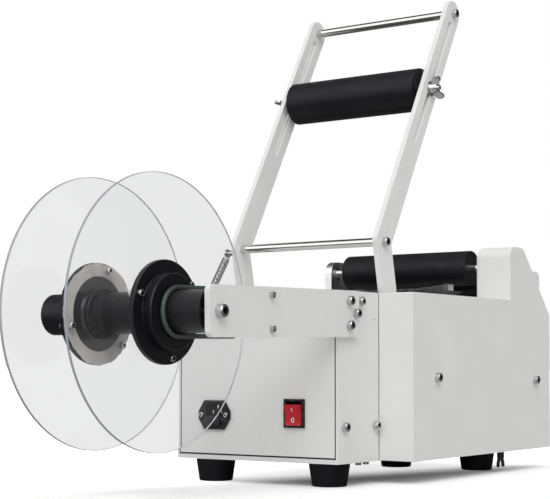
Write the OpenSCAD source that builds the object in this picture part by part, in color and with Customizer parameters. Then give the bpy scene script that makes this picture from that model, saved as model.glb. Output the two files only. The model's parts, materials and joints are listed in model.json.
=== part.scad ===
// Semi-automatic bottle labelling machine: a white sheet-metal body on rubber feet, a label reel on
// a cantilevered arm, a swinging press frame with a rubber roller, and a powered roller cradle.
// Lengths are millimetres. +X runs from the end panel towards the bottle rollers, +Y away from the
// drive cover, +Z up. The origin is under the middle of the whole machine, on the table.

/* [Body] */
// Length of the body from the end panel to the rear panel
body_len = 450; // [436:1:486]
// Width over the two frame plates
body_w = 219; // [215:1:243]
// Height of the body without its feet
body_h = 188; // [184:1:200]
// Length of the narrow front section, ahead of the drive cover
front_len = 86; // [82:1:94]
// How far the drive cover stands out from the near frame plate
cover_depth = 44; // [40:1:60]
// Thickness of the frame plates
plate_t = 3; // [2:0.5:4]
// Thickness of the covers and panels
sheet_t = 2; // [1.5:0.5:2.5]
// Shadow gap round the end panel
panel_gap = 1; // [0.5:0.1:1.5]
// Height of the tray's front lip
lip_h = 5; // [4:0.5:8]
// Width of the bent tabs that carry the end and rear panels
tab_w = 14; // [10:1:20]

/* [Feet] */
// Height of a rubber foot
foot_h = 25.5; // [20:0.5:35]
// Diameter of a foot at the top
foot_top_d = 46; // [40:1:50]
// Diameter of a foot at the floor
foot_bottom_d = 38; // [30:1:40]

/* [Hump over the roller drive] */
// Front face of the hump, ahead of the rear end
hump_x = 116.5; // [114:0.5:120]
// Height of the hump above the deck
hump_top = 67; // [64:1:74]
// Where the flat top of the hump ends, ahead of the rear end
hump_flat_x = 79; // [72:1:80]
// Height of the cover at the rear end
cover_rear_h = 172; // [165:1:180]
// Radius of the hump's two top corners
hump_r = 14; // [8:1:18]

/* [Label reel] */
// Reel axis ahead of the end panel
reel_reach = 221.5; // [200:0.5:250]
// Height of the reel axis above the bottom of the body
reel_z = 158.6; // [156:0.2:161]
// Diameter of the clear side discs
disc_d = 275; // [220:1:280]
// Thickness of the clear side discs
disc_t = 3; // [2:0.5:4]
// Outside diameter of the reel tube
tube_d = 42; // [38:1:44]
// Wall of the reel tube
tube_wall = 3; // [2:0.5:4]
// Diameter of the clamp hub outside each disc
hub_d = 76; // [70:1:80]
// Diameter of the flange plates that clamp the discs
flange_d = 103; // [96:1:110]
// Thickness of the flange plates
flange_t = 6; // [5:0.5:8]
// Length of the hub outside the flange plate
hub_len = 11; // [8:1:14]
// Diameter of the boss that centres a disc
boss_d = 51; // [48:1:56]
// How far the boss stands out past the disc
boss_len = 6; // [4:1:9]
// Distance from the near frame plate to the near disc
near_disc_y = 63; // [60:1:68]
// Distance from the near frame plate to the far disc
far_disc_y = 144; // [125:1:150]
// Thickness of the reel arm
arm_plate_t = 6; // [4:0.5:8]
// Height of the reel arm
arm_plate_h = 50.5; // [46:0.5:56]
// Diameter of the reel spindle
spindle_d = 12; // [10:1:14]
// Diameter of the round brake belt
belt_cord_d = 5; // [4:0.5:6]
// Distance from the end panel to the brake posts
post_reach = 134; // [125:1:140]

/* [Press frame] */
// Swing pivot, from the end panel
pivot_x = 134; // [130:1:140]
// Swing pivot, above the bottom of the body
pivot_z = 145; // [142:1:150]
// Diameter of the pivot shaft
pivot_d = 12; // [10:1:14]
// Elbow of the arms, from the end panel
elbow_x = 112; // [108:1:116]
// Elbow of the arms, above the bottom of the body
elbow_z = 248; // [240:1:256]
// Handle bar, from the end panel
handle_x = 284; // [275:1:290]
// Handle bar, above the bottom of the body
handle_z = 545; // [530:1:560]
// Width of an arm
arm_w = 32; // [28:1:36]
// Thickness of an arm
arm_t = 6; // [5:0.5:8]
// Gap between the near arm and its frame plate
arm_gap = 5; // [4:0.5:7]
// Gap between the far arm and its frame plate
far_arm_gap = 1.5; // [1:0.5:5]
// Diameter of the handle bar and the tie bar
bar_d = 10; // [9:0.5:14]
// Width of the slots for the press roller
slot_w = 7; // [6.8:0.1:9]
// Start of the slot, measured up the arm from the elbow
slot_start = 146; // [130:1:160]
// Length of the slot between its end centres
slot_len = 180; // [170:1:185]
// Place of the press roller, measured up the arm from the elbow
press_at = 224; // [215:1:235]
// Diameter of the press roller
press_d = 52; // [40:1:60]
// Thickness of the press roller's rubber
press_rubber_t = 6; // [4:0.5:10]

/* [Bottle rollers] */
// Axis of the drive roller, ahead of the rear end
drive_x = 94.5; // [93:0.5:96]
// Axis of the drive roller, above the deck
drive_z = 43; // [41:0.5:45]
// Diameter of the drive roller
drive_d = 45; // [40:1:46]
// Diameter of the drive roller's shaft
drive_shaft_d = 12; // [10:1:14]
// Near end of the drive roller, from the near frame plate's outer face
roller_y0 = 20; // [18:1:24]
// Far end of the drive roller, short of the far frame plate's outer face
roller_y1_in = 15; // [12:1:18]
// Axis of the idler roller, ahead of the rear end
idler_x = 50; // [48:0.5:52]
// Axis of the idler roller, above the deck
idler_z = 16; // [15:0.5:18]
// Diameter of the idler roller
idler_d = 27; // [22:1:28]
// Thickness of the roller bracket on the far plate
bracket_t = 10; // [8:0.5:11]

/* [Drive] */
// Motor axis, ahead of the rear end
motor_x = 94; // [88:1:98]
// Motor axis, above the bottom of the body
motor_z = 80; // [74:1:88]
// Side of the square motor
motor_w = 57; // [50:1:60]
// Length of the motor
motor_len = 56; // [45:1:76]
// Diameter of the motor shaft
motor_shaft_d = 8; // [6:0.5:10]
// Traction roller axis, ahead of the rear end
traction_x = 50; // [44:1:54]
// Traction roller axis, above the bottom of the body
traction_z = 150; // [146:1:156]
// Diameter of the traction roller
traction_d = 24; // [20:1:26]
// Diameter of the pinch roller
pinch_d = 20; // [16:1:22]
// Pitch diameter of the drive roller's pulley
drive_pulley_d = 30; // [26:1:32]
// Pitch diameter of the motor pulley
motor_pulley_d = 20; // [18:1:24]
// Pitch diameter of the traction roller's pulley
traction_pulley_d = 24; // [20:1:26]
// Width of the toothed belt
belt_w = 10; // [8:1:12]
// Thickness of the toothed belt
belt_t = 2; // [1.5:0.1:2.5]

/* [Mains inlet and switch] */
// Middle of the inlet, in from the far frame plate
inlet_y = 53.5; // [48:0.5:58]
// Middle of the inlet, above the bottom of the body
inlet_z = 50.5; // [44:0.5:60]
// Middle of the switch, across the end panel
switch_y = 56; // [50:1:62]
// Middle of the switch, above the bottom of the body
switch_z = 54; // [46:0.5:62]
// Height of the switch bezel
switch_h = 31.5; // [30:0.5:34]
// Width of the switch bezel
switch_w = 27; // [25:0.5:29]

/* [Return spring] */
// Wire of the return spring
wire_d = 1.2; // [1:0.1:1.3]
// Mean radius of the spring's curls
coil_r = 3.9; // [3.7:0.1:4.5]
// Number of curls
curls = 53; // [40:1:54]
// Rise of one curl
coil_pitch = 1.7; // [1.66:0.02:1.8]
// Diameter of the pins that hold the spring
spring_pin_d = 6; // [5.4:0.1:6.2]

/* [Fits] */
// Radial room of a shaft that turns in a bore
run_gap = 0.05; // [0.02:0.01:0.08]
// Room between parts that pass each other
clear_gap = 0.3; // [0.3:0.05:0.5]
// Shank of the body screws
screw_d = 6; // [5:0.5:6]
// Head diameter of the body screws
screw_head_d = 10; // [9:0.5:11]
// Head height of the body screws
screw_head_h = 6; // [5:0.5:6]

/* [Hidden] */
$fn = 64;

white = "whitesmoke";
black = [0.08, 0.08, 0.09];
steel = [0.75, 0.75, 0.77];
clear = [0.9, 0.95, 1, 0.3];

// Faces of the frame plates and arms, along Y
near_in = plate_t;
far_in = body_w - plate_t;
near_arm_y = near_in + arm_gap;
near_arm_in = near_arm_y + arm_t;
far_arm_out = far_in - far_arm_gap;
far_arm_y = far_arm_out - arm_t;
tray_top = sheet_t;
deck_bottom = body_h - sheet_t;

// Places that are set from the rear end, the far plate or the deck
hump_at = body_len - hump_x;
hump_flat_at = body_len - hump_flat_x;
drive_at = body_len - drive_x;
idler_at = body_len - idler_x;
motor_at = body_len - motor_x;
traction_at = body_len - traction_x;
inlet_at = body_w - inlet_y;
drive_h = body_h + drive_z;
idler_h = body_h + idler_z;
hump_h = body_h + hump_top;

// The reel, along X and Y
reel_x = -reel_reach;
tube_y0 = 2.5;
tube_y1 = body_w - 12.5;
near_hub_y = near_disc_y - flange_t - hub_len;
far_flange_y = far_disc_y + disc_t;
paper_t = 0.4;
paper_edge = 2.4;
flange_screw_r = (flange_d + hub_d) / 4 + 0.5;
clamp_angles = [158, 278, 38];
far_clamp_turn = 38;
bush_len = 12;
spindle_head_d = 24;
spindle_head_t = 5;
spindle_y1 = tube_y1 + clear_gap + spindle_head_t;
spindle_bolt_d = 8;
spindle_bolt_head_d = 13;
spindle_bolt_head_h = 8;
bolt_depth = 20;

// The brake belt lies clear of the tube, beside the hub
belt_y = near_hub_y - belt_cord_d / 2 - 0.6;
belt_r = tube_d / 2 + clear_gap + belt_cord_d / 2;
post_d = 8;
post_belt_r = post_d / 2 + clear_gap + belt_cord_d / 2;
post_s = reel_reach - post_reach;
post_dz = belt_r - post_belt_r;
post_collar_d = 15;
post_collar_t = 2;

// The reel arm sags from the top of the body to the reel axis, which lies in its middle
arm_tail = 14.5;
arm_x1 = 34.5;
arm_reach = arm_x1 - reel_x;
arm_sag = asin((body_h - arm_plate_h / 2 - reel_z) / arm_reach);
arm_corner_r = 7;

// Room across the diameter for a screw in its hole, a small screw and a thread
hole_room = 0.6;
small_hole_room = 0.4;
thread_room = 0.2;

// Screw places on the near side, as [x, z]
arm_screws = [[12.5, body_h - 11.5], [26.5, body_h - 24.7], [12.5, body_h - 38]];
face_screws = [[front_len - 41, body_h - 11], [12, 40], [front_len - 9, 40]];
cover_screws = [[front_len + 54, 93], [body_len - 47, 88]];
far_screws = [[12, 40], [body_len - 12, 40], [12, body_h - 12], [body_len - 12, body_h - 12]];
screw_len = 14;
pin_hole = [front_len - 10, body_h - 30];
pin_hole_d = 3;

// Feet, as [x, y]
foot_near_x = 25;
foot_near_y = 27;
foot_far_x = 22;
foot_far_in = 39;
foot_rear_in = 105;
foot_rear_y = 10;
foot_last_in = 115;
foot_last_y = 12;
foot_places = [
    [foot_near_x, foot_near_y],
    [foot_far_x, body_w - foot_far_in],
    [body_len - foot_rear_in, foot_rear_y],
    [body_len - foot_last_in, body_w / 2 + foot_last_y]
];
foot_screw_len = 12;

// Screws under the tray, as [x, y]
tray_screws = [[front_len - 25, 12], [front_len - 9, 12]];
tray_screw_d = 4;
tray_screw_head_d = 7;
tray_screw_len = 8;

// Press frame: directions of the lower and upper legs, as angles from straight up towards +X
lower_lean = atan2(elbow_x - pivot_x, elbow_z - pivot_z);
upper_lean = atan2(handle_x - elbow_x, handle_z - elbow_z);
arm_pivot_d = pivot_d + 2 * run_gap;
arm_hub_d = pivot_d + 14;
arm_hub_len = 12;
press_x = elbow_x + press_at * sin(upper_lean);
press_z = elbow_z + press_at * cos(upper_lean);
stud_d = 6;
axle_d = 10;
axle_shoulder_d = 16;
axle_shoulder_t = 4;
slide_gap = 0.2;
press_y0 = near_arm_in + axle_shoulder_t + clear_gap;
press_y1 = far_arm_y - axle_shoulder_t - clear_gap;
wing_base_d = 13;
wing_base_h = 9;
wing_rise = 15;
bolt_hole_d = 6.4;
elbow_r = 8;
bar_bolt_len = 22;
buffer_w = 10;
buffer_len = 16;
buffer_up = 20;

// Spring ends: the anchor on the far plate and the pin on the far arm
spring_clear = 0.8;
spring_top_back = 8.5;
spring_top_down = 5;
spring_low_back = 72;
spring_low_down = 92;
pin_tip = 6;
arm_pin_tip = 3.2;
pin_seat = 2;
pin_head_t = 2;
pin_head_w = 4;
spring_y = body_w + spring_clear + coil_r + wire_d / 2;
spring_top = [elbow_x - spring_top_back, elbow_z - spring_top_down];
spring_low = [elbow_x - spring_low_back, elbow_z - spring_low_down];
pin_tip_y = spring_y + pin_tip;
arm_pin_tip_y = spring_y + arm_pin_tip;

// Bottle rollers
roller_y1 = body_w - roller_y1_in;
core_d = 30;
roller_end_t = 3;
bearing_d = 24;
bearing_len = 9;
idler_axle_d = 10;
lug_inset = 1.5;
bracket_y = body_w;
bracket_ahead = 24;
bracket_behind = 18;
bracket_up = 15;
bracket_foot = 26;
bracket_low_up = 16;
bracket_peak = 24;
bracket_corner_r = 16;
bracket_peak_r = 12;
bracket_low_r = 10;
bracket_x0 = drive_at - bracket_ahead;
bracket_x1 = idler_at + bracket_behind;
bracket_top = drive_h + bracket_up;
bracket_y1 = bracket_y + bracket_t;
bracket_screw_tip = bracket_y1 - 2;
bracket_screws = [[drive_at - 10, body_h - 13], [idler_at, body_h - 13]];

// The belt runs in the drive cover
pulley_rim = 1.5;
pulley_rim_t = 1.5;
pulley_w = belt_w + 2 * (pulley_rim_t + clear_gap);
pulley_y = -cover_depth / 2 - pulley_w / 2;
pulley_y1 = pulley_y + pulley_w;
belt_y0 = pulley_y + pulley_rim_t + clear_gap;
traction_shaft_d = 8;
pinch_x = traction_at;
pinch_z = traction_z - traction_d / 2 - pinch_d / 2 - clear_gap;
nip_z = traction_z - traction_d / 2;
motor_bore_len = 20;

// Label table
peel_lift = 9;
peel_t = 3;
peel_back = 130;
peel_front = 26;
peel_side = 6;
peel_edge = 6;
peel_post_w = 8;
peel_post_in = 4;
peel_post_short = 16;
peel_z = body_h + peel_lift;
peel_x0 = drive_at - peel_back;
peel_x1 = drive_at - peel_front;
paper_slot_w = 10;
paper_slot_back = 30;
paper_in = 10;
paper_short = 22;
paper_slot_x = peel_x1 - paper_slot_back;
paper_y0 = roller_y0 + paper_in;
paper_y1 = far_arm_y - paper_short;

// Extent of the whole machine, used to put the origin under its middle
wing_tip_y = far_arm_out + slide_gap + wing_rise;
extent_x0 = reel_x - disc_d / 2;
extent_y0 = -cover_depth - screw_head_h;
extent_y1 = max(pin_tip_y, wing_tip_y, bracket_y1);
mid_x = (extent_x0 + body_len) / 2;
mid_y = (extent_y0 + extent_y1) / 2;

// How far a cut runs past the face it opens
over = 1;
// How far two solids of one piece run into each other
join = 0.01;

// Placement and drawing helpers

// Moves a piece from body coordinates to the part's own frame
module placed() {
    translate([-mid_x, -mid_y, foot_h]) children();
}

// Extrudes an outline drawn in X and Z from y0 to y1
module along_y(y0, y1) {
    translate([0, y1, 0]) rotate([90, 0, 0]) linear_extrude(y1 - y0) children();
}

// Round bar along Y
module bar_y(x, z, y0, y1, d) {
    translate([x, y0, z]) rotate([-90, 0, 0]) cylinder(d = d, h = y1 - y0);
}

// Round tube along Y
module ring_y(x, z, y0, y1, d, bore) {
    difference() {
        bar_y(x, z, y0, y1, d);
        bar_y(x, z, y0 - over, y1 + over, bore);
    }
}

// Solid block from one corner to the opposite one
module block(low, high) {
    translate(low) cube(high - low);
}

// Socket screw that points along -Z, with its head above z = 0
module socket_screw(shank_d, shank_len, head_d, head_h) {
    socket_d = 0.62 * head_d;
    difference() {
        cylinder(d = head_d, h = head_h);
        translate([0, 0, head_h * 0.45]) cylinder(d = socket_d, h = head_h, $fn = 6);
    }
    translate([0, 0, -shank_len]) cylinder(d = shank_d, h = shank_len + join);
}

// Screw driven into the near side, head towards -Y
module near_screw(x, y, z, len = screw_len) {
    translate([x, y, z]) rotate([90, 0, 0])
        socket_screw(screw_d, len, screw_head_d, screw_head_h);
}

// Screw driven into the far side, head towards +Y
module far_screw(x, y, z, len = screw_len) {
    translate([x, y, z]) rotate([-90, 0, 0])
        socket_screw(screw_d, len, screw_head_d, screw_head_h);
}

// Clearance holes along Y at a list of [x, z] places
module holes_y(places, d, y0, y1) {
    for (p = places) bar_y(p[0], p[1], y0, y1, d);
}

// Outline helpers

function unit(v) = v / norm(v);
function left_of(v) = [-v[1], v[0]];

// Points of a corner rounded with radius r, going from a through b to c
function corner_arc(a, b, c, r, steps = 8) =
    r == 0 ? [b] :
    let (
        u = unit(a - b),
        w = unit(c - b),
        half = acos(max(-1, min(1, u * w))) / 2,
        reach = r / tan(half),
        start = b + u * reach,
        mid = b + unit(u + w) * (r / sin(half)),
        from = atan2(start[1] - mid[1], start[0] - mid[0]),
        turn = (u[0] * w[1] - u[1] * w[0] > 0 ? -1 : 1) * (180 - 2 * half)
    )
    [for (i = [0 : steps]) mid + r * [cos(from + turn * i / steps), sin(from + turn * i / steps)]];

// Closed outline with each corner rounded by its own radius
function rounded(points, radii) =
    let (n = len(points))
    [for (i = [0 : n - 1])
        for (q = corner_arc(points[(i + n - 1) % n], points[i], points[(i + 1) % n], radii[i])) q];

// Counter-clockwise outline moved inwards by d
function inset(points, d) =
    let (n = len(points))
    [for (i = [0 : n - 1])
        let (
            b = points[i],
            u = unit(b - points[(i + n - 1) % n]),
            w = unit(points[(i + 1) % n] - b),
            m = left_of(u) + left_of(w)
        )
        b + m * (d / (1 + left_of(u) * left_of(w)))];

// Outline of the drive cover, seen from the near side
cover_points = [
    [front_len, 0], [body_len, 0], [body_len, cover_rear_h], [hump_flat_at, hump_h],
    [hump_at, hump_h], [hump_at, body_h], [front_len, body_h]
];
cover_radii = [1, 1, 3, hump_r, hump_r, 0, 1];

module cover_outline(by = 0, shrink = 0) {
    polygon(rounded(inset(cover_points, by), [for (r = cover_radii) max(0, r - shrink)]));
}

// Flat left in the middle of a round end, so that its two arcs stay apart
end_flat = 0.1;

// Straight strip between two [x, z] places, with round ends about them
module strip(a, b, w) {
    d = unit(b - a) * w / 2;
    n = left_of(d);
    r = (w - end_flat) / 2;
    polygon(rounded([a - d - n, b + d - n, b + d + n, a - d + n], [r, r, r, r]));
}

// Body

module base_tray() color(white) placed() difference() {
    union() {
        block([0, near_in, 0], [body_len, far_in, sheet_t]);
        block([0, near_in, 0], [sheet_t, far_in, lip_h]);
    }
    for (p = foot_places) translate([p[0], p[1], -over])
        cylinder(d = screw_d + hole_room, h = sheet_t + 2 * over);
    for (p = tray_screws) translate([p[0], p[1], -over])
        cylinder(d = tray_screw_d + hole_room, h = sheet_t + 2 * over);
}

// Bent tabs along one end of a frame plate, behind the end panel or the rear panel
module panel_tabs(y0, y1) {
    tab_z0 = tray_top + 16;
    tab_z1 = deck_bottom - 16;
    block([sheet_t, y0, tab_z0], [2 * sheet_t, y1, tab_z1]);
    block([body_len - 2 * sheet_t, y0, tab_z0], [body_len - sheet_t, y1, tab_z1]);
}

module near_frame_plate() color(white) placed() difference() {
    union() {
        along_y(0, plate_t) {
            square([body_len, body_h]);
            intersection() {
                cover_outline(lug_inset, lug_inset);
                translate([hump_at, body_h / 2]) square([body_len - hump_at, hump_h]);
            }
        }
        panel_tabs(near_in, near_in + tab_w);
    }
    holes_y(arm_screws, screw_d + hole_room, -over, near_in + over);
    holes_y(face_screws, screw_d + hole_room, -over, near_in + over);
    holes_y([pin_hole], pin_hole_d, -over, near_in + over);
    bar_y(pivot_x, pivot_z, -over, near_in + over, pivot_d + 2 * run_gap);
    bar_y(drive_at, drive_h, -over, near_in + over, bearing_d + 2 * run_gap);
    bar_y(idler_at, idler_h, -over, near_in + over, idler_axle_d + 2 * run_gap);
    bar_y(motor_at, motor_z, -over, near_in + over, motor_shaft_d + 8);
    bar_y(traction_at, traction_z, -over, near_in + over, traction_shaft_d + 2 * run_gap);
    bar_y(pinch_x, pinch_z, -over, near_in + over, traction_shaft_d + 2 * run_gap);
}

module far_frame_plate() color(white) placed() difference() {
    union() {
        block([0, far_in, 0], [body_len, body_w, body_h]);
        panel_tabs(far_in - tab_w, far_in);
    }
    holes_y(far_screws, screw_d + hole_room, far_in - over, body_w + over);
    holes_y(bracket_screws, screw_d + hole_room, far_in - over, body_w + over);
    bar_y(pivot_x, pivot_z, far_in - over, body_w + over, pivot_d + 2 * run_gap);
    bar_y(traction_at, traction_z, far_in - over, body_w + over, traction_shaft_d + 2 * run_gap);
    bar_y(pinch_x, pinch_z, far_in - over, body_w + over, traction_shaft_d + 2 * run_gap);
    bar_y(spring_low[0], spring_low[1], far_in - over, body_w + over, spring_pin_d + 2 * run_gap);
}

// Mains inlet and switch, and the room round them in the end panel
panel_room = 0.2;
inlet_body_w = 27;
inlet_body_h = 31;
inlet_flange_w = 45;
inlet_flange_h = 33;
inlet_flange_t = 3;
inlet_screw_dy = 18;
inlet_screw_d = 3;
socket_w = 24;
socket_h = 15;
socket_depth = 16;
bezel_t = 2.5;
switch_body_w = switch_w - 5;
switch_body_h = switch_h - 4;

// Window in the end panel for a snap-in body of the given width and height
module panel_window(y, z, w, h) {
    reach = [0, w / 2 + panel_room, h / 2 + panel_room];
    block([-over, y, z] - reach, [sheet_t + over, y, z] + reach);
}

module end_panel() color(white) placed() difference() {
    block(
        [0, near_in + panel_gap, lip_h + panel_gap],
        [sheet_t, far_in - panel_gap, deck_bottom]);
    panel_window(inlet_at, inlet_z, inlet_body_w, inlet_body_h);
    panel_window(switch_y, switch_z, switch_body_w, switch_body_h);
    for (s = [-1, 1]) translate([-over, inlet_at + s * inlet_screw_dy, inlet_z]) rotate([0, 90, 0])
        cylinder(d = inlet_screw_d + small_hole_room, h = sheet_t + 2 * over);
}

// The backing paper leaves through a slot behind the pinch roller
module rear_panel() color(white) placed() difference() {
    block(
        [body_len - sheet_t, near_in + panel_gap, tray_top],
        [body_len, far_in - panel_gap, deck_bottom]);
    block(
        [body_len - sheet_t - over, paper_y0, nip_z - paper_slot_w / 2],
        [body_len + over, paper_y1, nip_z + paper_slot_w / 2]);
}

// The deck has a slot for each arm and a slot for the backing paper
module deck_plate() color(white) placed() {
    slot_front = 36;
    slot_back = 48;
    slot_side = 3;
    edge = 1;
    slot_x0 = pivot_x - slot_front;
    slot_x1 = pivot_x + slot_back;
    difference() {
        block([0, near_in, deck_bottom], [body_len, far_in, body_h]);
        block(
            [slot_x0, near_in + edge, deck_bottom - over],
            [slot_x1, near_arm_in + slot_side, body_h + over]);
        block(
            [slot_x0, far_arm_y - slot_side, deck_bottom - over],
            [slot_x1, far_in - edge, body_h + over]);
        block(
            [paper_slot_x, paper_y0, deck_bottom - over],
            [paper_slot_x + paper_slot_w, paper_y1, body_h + over]);
    }
}

module drive_cover() color(white) placed() difference() {
    along_y(-cover_depth, 0) cover_outline();
    along_y(-cover_depth + sheet_t, over) cover_outline(sheet_t, sheet_t);
    holes_y(cover_screws, screw_d + hole_room, -cover_depth - over, 0);
    translate([tension_x, tension_y, -over]) cylinder(d = tension_d + hole_room, h = sheet_t + 2 * over);
}

// Small three-cornered lug on the slope of the hump, drilled for a stop rod
module stop_lug() color(white) placed() {
    slope = cover_points[2] - cover_points[3];
    lug_from = 0.335;
    lug_to = 0.62;
    lug_t = 5;
    lug_r = 9;
    lug_hole_d = 4;
    hole_in = 6.5;
    hole_down = 9;
    lug_y1 = lug_t - cover_depth;
    top = cover_points[3] + lug_from * slope;
    low = cover_points[3] + lug_to * slope;
    difference() {
        along_y(-cover_depth, lug_y1)
            polygon(rounded([top, low, [low[0], top[1]]], [0, 0, lug_r]));
        bar_y(low[0] - hole_in, top[1] - hole_down, -cover_depth - over, lug_y1 + over, lug_hole_d);
    }
}

// All the socket screws of the body, the reel arm and the feet, with the spindle's larger bolt
module body_screws() color(steel) placed() {
    for (p = arm_screws) near_screw(p[0], -arm_plate_t, p[1], screw_len + 4);
    for (p = face_screws) near_screw(p[0], 0, p[1]);
    for (p = cover_screws) near_screw(p[0], -cover_depth, p[1], cover_depth);
    for (p = far_screws) far_screw(p[0], body_w, p[1]);
    for (p = bracket_screws) near_screw(p[0], far_in, p[1], bracket_screw_tip - far_in);
    for (p = foot_places) translate([p[0], p[1], sheet_t])
        socket_screw(screw_d, foot_screw_len + sheet_t, screw_head_d, screw_head_h / 2);
    for (p = tray_screws) translate([p[0], p[1], 0]) rotate([180, 0, 0])
        socket_screw(tray_screw_d, tray_screw_len, tray_screw_head_d, tray_screw_d);
    translate([reel_x, -arm_plate_t, reel_z]) rotate([90, 0, 0])
        socket_screw(
            spindle_bolt_d, arm_plate_t + bolt_depth, spindle_bolt_head_d, spindle_bolt_head_h);
}

// Tapered feet, each hollowed for its screw
module rubber_feet() color(black) placed() for (p = foot_places) translate([p[0], p[1], -foot_h])
    difference() {
        cylinder(d1 = foot_bottom_d, d2 = foot_top_d, h = foot_h);
        translate([0, 0, foot_h - foot_screw_len - over])
            cylinder(d = screw_d + thread_room, h = foot_screw_len + 2 * over);
    }

// Label reel

// Places what is drawn about the reel axis, with X along the sagging reel arm
module along_arm() {
    translate([reel_x, 0, reel_z]) rotate([0, -arm_sag, 0]) children();
}

module reel_arm() color(white) placed() difference() {
    along_arm() along_y(-arm_plate_t, 0) translate([0, -arm_plate_h / 2]) polygon(rounded(
        [[-arm_tail, 0], [arm_reach, 0], [arm_reach, arm_plate_h], [-arm_tail, arm_plate_h]],
        [arm_corner_r, 1, 1, arm_corner_r]));
    holes_y(arm_screws, screw_d + hole_room, -arm_plate_t - over, over);
    bar_y(reel_x, reel_z, -arm_plate_t - over, over, spindle_bolt_d + hole_room);
    along_arm() holes_y(
        [[post_s, -post_dz], [post_s, post_dz]], screw_d + hole_room, -arm_plate_t - over, over);
}

// Fixed spindle, bolted to the arm, with a head that keeps the tube on
module reel_spindle() color(steel) placed() difference() {
    union() {
        bar_y(reel_x, reel_z, 0, spindle_y1, spindle_d);
        bar_y(reel_x, reel_z, spindle_y1 - spindle_head_t, spindle_y1, spindle_head_d);
    }
    bar_y(reel_x, reel_z, -over, bolt_depth + over, spindle_bolt_d + thread_room);
}

// Two collared posts behind the arm, each with the socket screw that shows on the arm's face
module brake_posts() color(steel) placed() along_arm()
    for (s = [-1, 1]) translate([post_s, 0, s * post_dz]) {
        collar_y = belt_y + belt_cord_d / 2 + clear_gap;
        low_collar_y = belt_y - belt_cord_d / 2 - clear_gap - post_collar_t;
        bar_y(0, 0, 0, collar_y + post_collar_t, post_d);
        bar_y(0, 0, collar_y, collar_y + post_collar_t, post_collar_d);
        bar_y(0, 0, low_collar_y, low_collar_y + post_collar_t, post_collar_d);
        near_screw(0, -arm_plate_t, 0, arm_plate_t);
    }

// Bend of the round belt about a point, from one angle over a turn
module belt_bend(x, z, r, from, turn) {
    translate([x, belt_y, z]) rotate([90, 0, 0]) rotate([0, 0, from])
        rotate_extrude(angle = turn) translate([r, 0]) circle(d = belt_cord_d);
}

// Endless round belt that drags on the reel tube
module brake_belt() color("darkgreen") placed() along_arm() {
    belt_bend(0, 0, belt_r, 90, 180);
    belt_bend(post_s, post_dz, post_belt_r, 0, 90);
    belt_bend(post_s, -post_dz, post_belt_r, 270, 90);
    for (s = [-1, 1]) translate([0, belt_y, s * belt_r]) rotate([0, 90, 0])
        cylinder(d = belt_cord_d, h = post_s);
    translate([post_s + post_belt_r, belt_y, -post_dz]) cylinder(d = belt_cord_d, h = 2 * post_dz);
}

module reel_tube() color(black) placed()
    ring_y(reel_x, reel_z, tube_y0, tube_y1, tube_d, tube_d - 2 * tube_wall);

module reel_bushes() color(black) placed()
    for (y = [tube_y0 + 6, tube_y1 - bush_len])
        ring_y(reel_x, reel_z, y, y + bush_len, tube_d - 2 * tube_wall, spindle_d + 2 * run_gap);

flange_screw_d = 4;
flange_screw_head_d = 7;
flange_nut_d = 8;
flange_nut_t = 3;

// Holes for the clamp screws about the reel axis, from y0 to y1
module clamp_holes(turn, y0, y1) {
    for (a = clamp_angles + turn * [1, 1, 1])
        bar_y(flange_screw_r * cos(a), flange_screw_r * sin(a), y0, y1, flange_screw_d + small_hole_room);
}

// Flange with hub, clamp plate and centring boss, drawn from the disc outwards along +Y
module flange_shape(turn) {
    bore = tube_d + 2 * run_gap;
    difference() {
        union() {
            bar_y(0, 0, -disc_t - boss_len, flange_t, boss_d);
            bar_y(0, 0, paper_t, flange_t, flange_d);
            bar_y(0, 0, paper_t, flange_t + hub_len, hub_d);
        }
        bar_y(0, 0, -disc_t - boss_len - over, flange_t + hub_len + over, bore);
        clamp_holes(turn, -over, flange_t + over);
    }
}

// Screws that clamp one disc to its flange, with nuts on the label side
module flange_screw_set(turn) {
    for (a = clamp_angles + turn * [1, 1, 1]) rotate([0, -a, 0]) translate([flange_screw_r, 0, 0]) {
        bar_y(0, 0, -disc_t - flange_nut_t, flange_t + join, flange_screw_d);
        bar_y(0, 0, -disc_t - flange_nut_t, -disc_t, flange_nut_d, $fn = 6);
        translate([0, flange_t, 0]) rotate([-90, 0, 0])
            socket_screw(flange_screw_d, 1, flange_screw_head_d, flange_screw_d);
    }
}

// Clear disc with its centre hole and screw holes, from y to y + disc_t
module disc_shape(y, turn) {
    translate([reel_x, y, reel_z]) difference() {
        bar_y(0, 0, 0, disc_t, disc_d, $fn = 128);
        bar_y(0, 0, -over, disc_t + over, boss_d + 2 * run_gap);
        clamp_holes(turn, -over, disc_t + over);
    }
}

// The near flange faces the arm, the far one faces away from it
module at_near_disc() {
    translate([reel_x, near_disc_y, reel_z]) mirror([0, 1, 0]) children();
}

module at_far_disc() {
    translate([reel_x, far_flange_y, reel_z]) children();
}

module near_flange() color(black) placed() at_near_disc() flange_shape(0);
module far_flange() color(black) placed() at_far_disc() flange_shape(far_clamp_turn);
module near_flange_screws() color(steel) placed() at_near_disc() flange_screw_set(0);
module near_disc() color(clear) placed() disc_shape(near_disc_y, 0);
module far_disc() color(clear) placed() disc_shape(far_disc_y, far_clamp_turn);

// The far screws have their heads on the label side
module far_flange_screws() color(steel) placed() at_far_disc()
    translate([0, flange_t - disc_t, 0]) mirror([0, 1, 0]) flange_screw_set(far_clamp_turn);

// Remains of the protective paper between the far disc and its flange
module far_paper_ring() color("tan") placed() at_far_disc() difference() {
    ring_y(0, 0, 0, paper_t, flange_d + paper_edge, hub_d);
    clamp_holes(far_clamp_turn, -over, over);
}

// Mains inlet and switch

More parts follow.
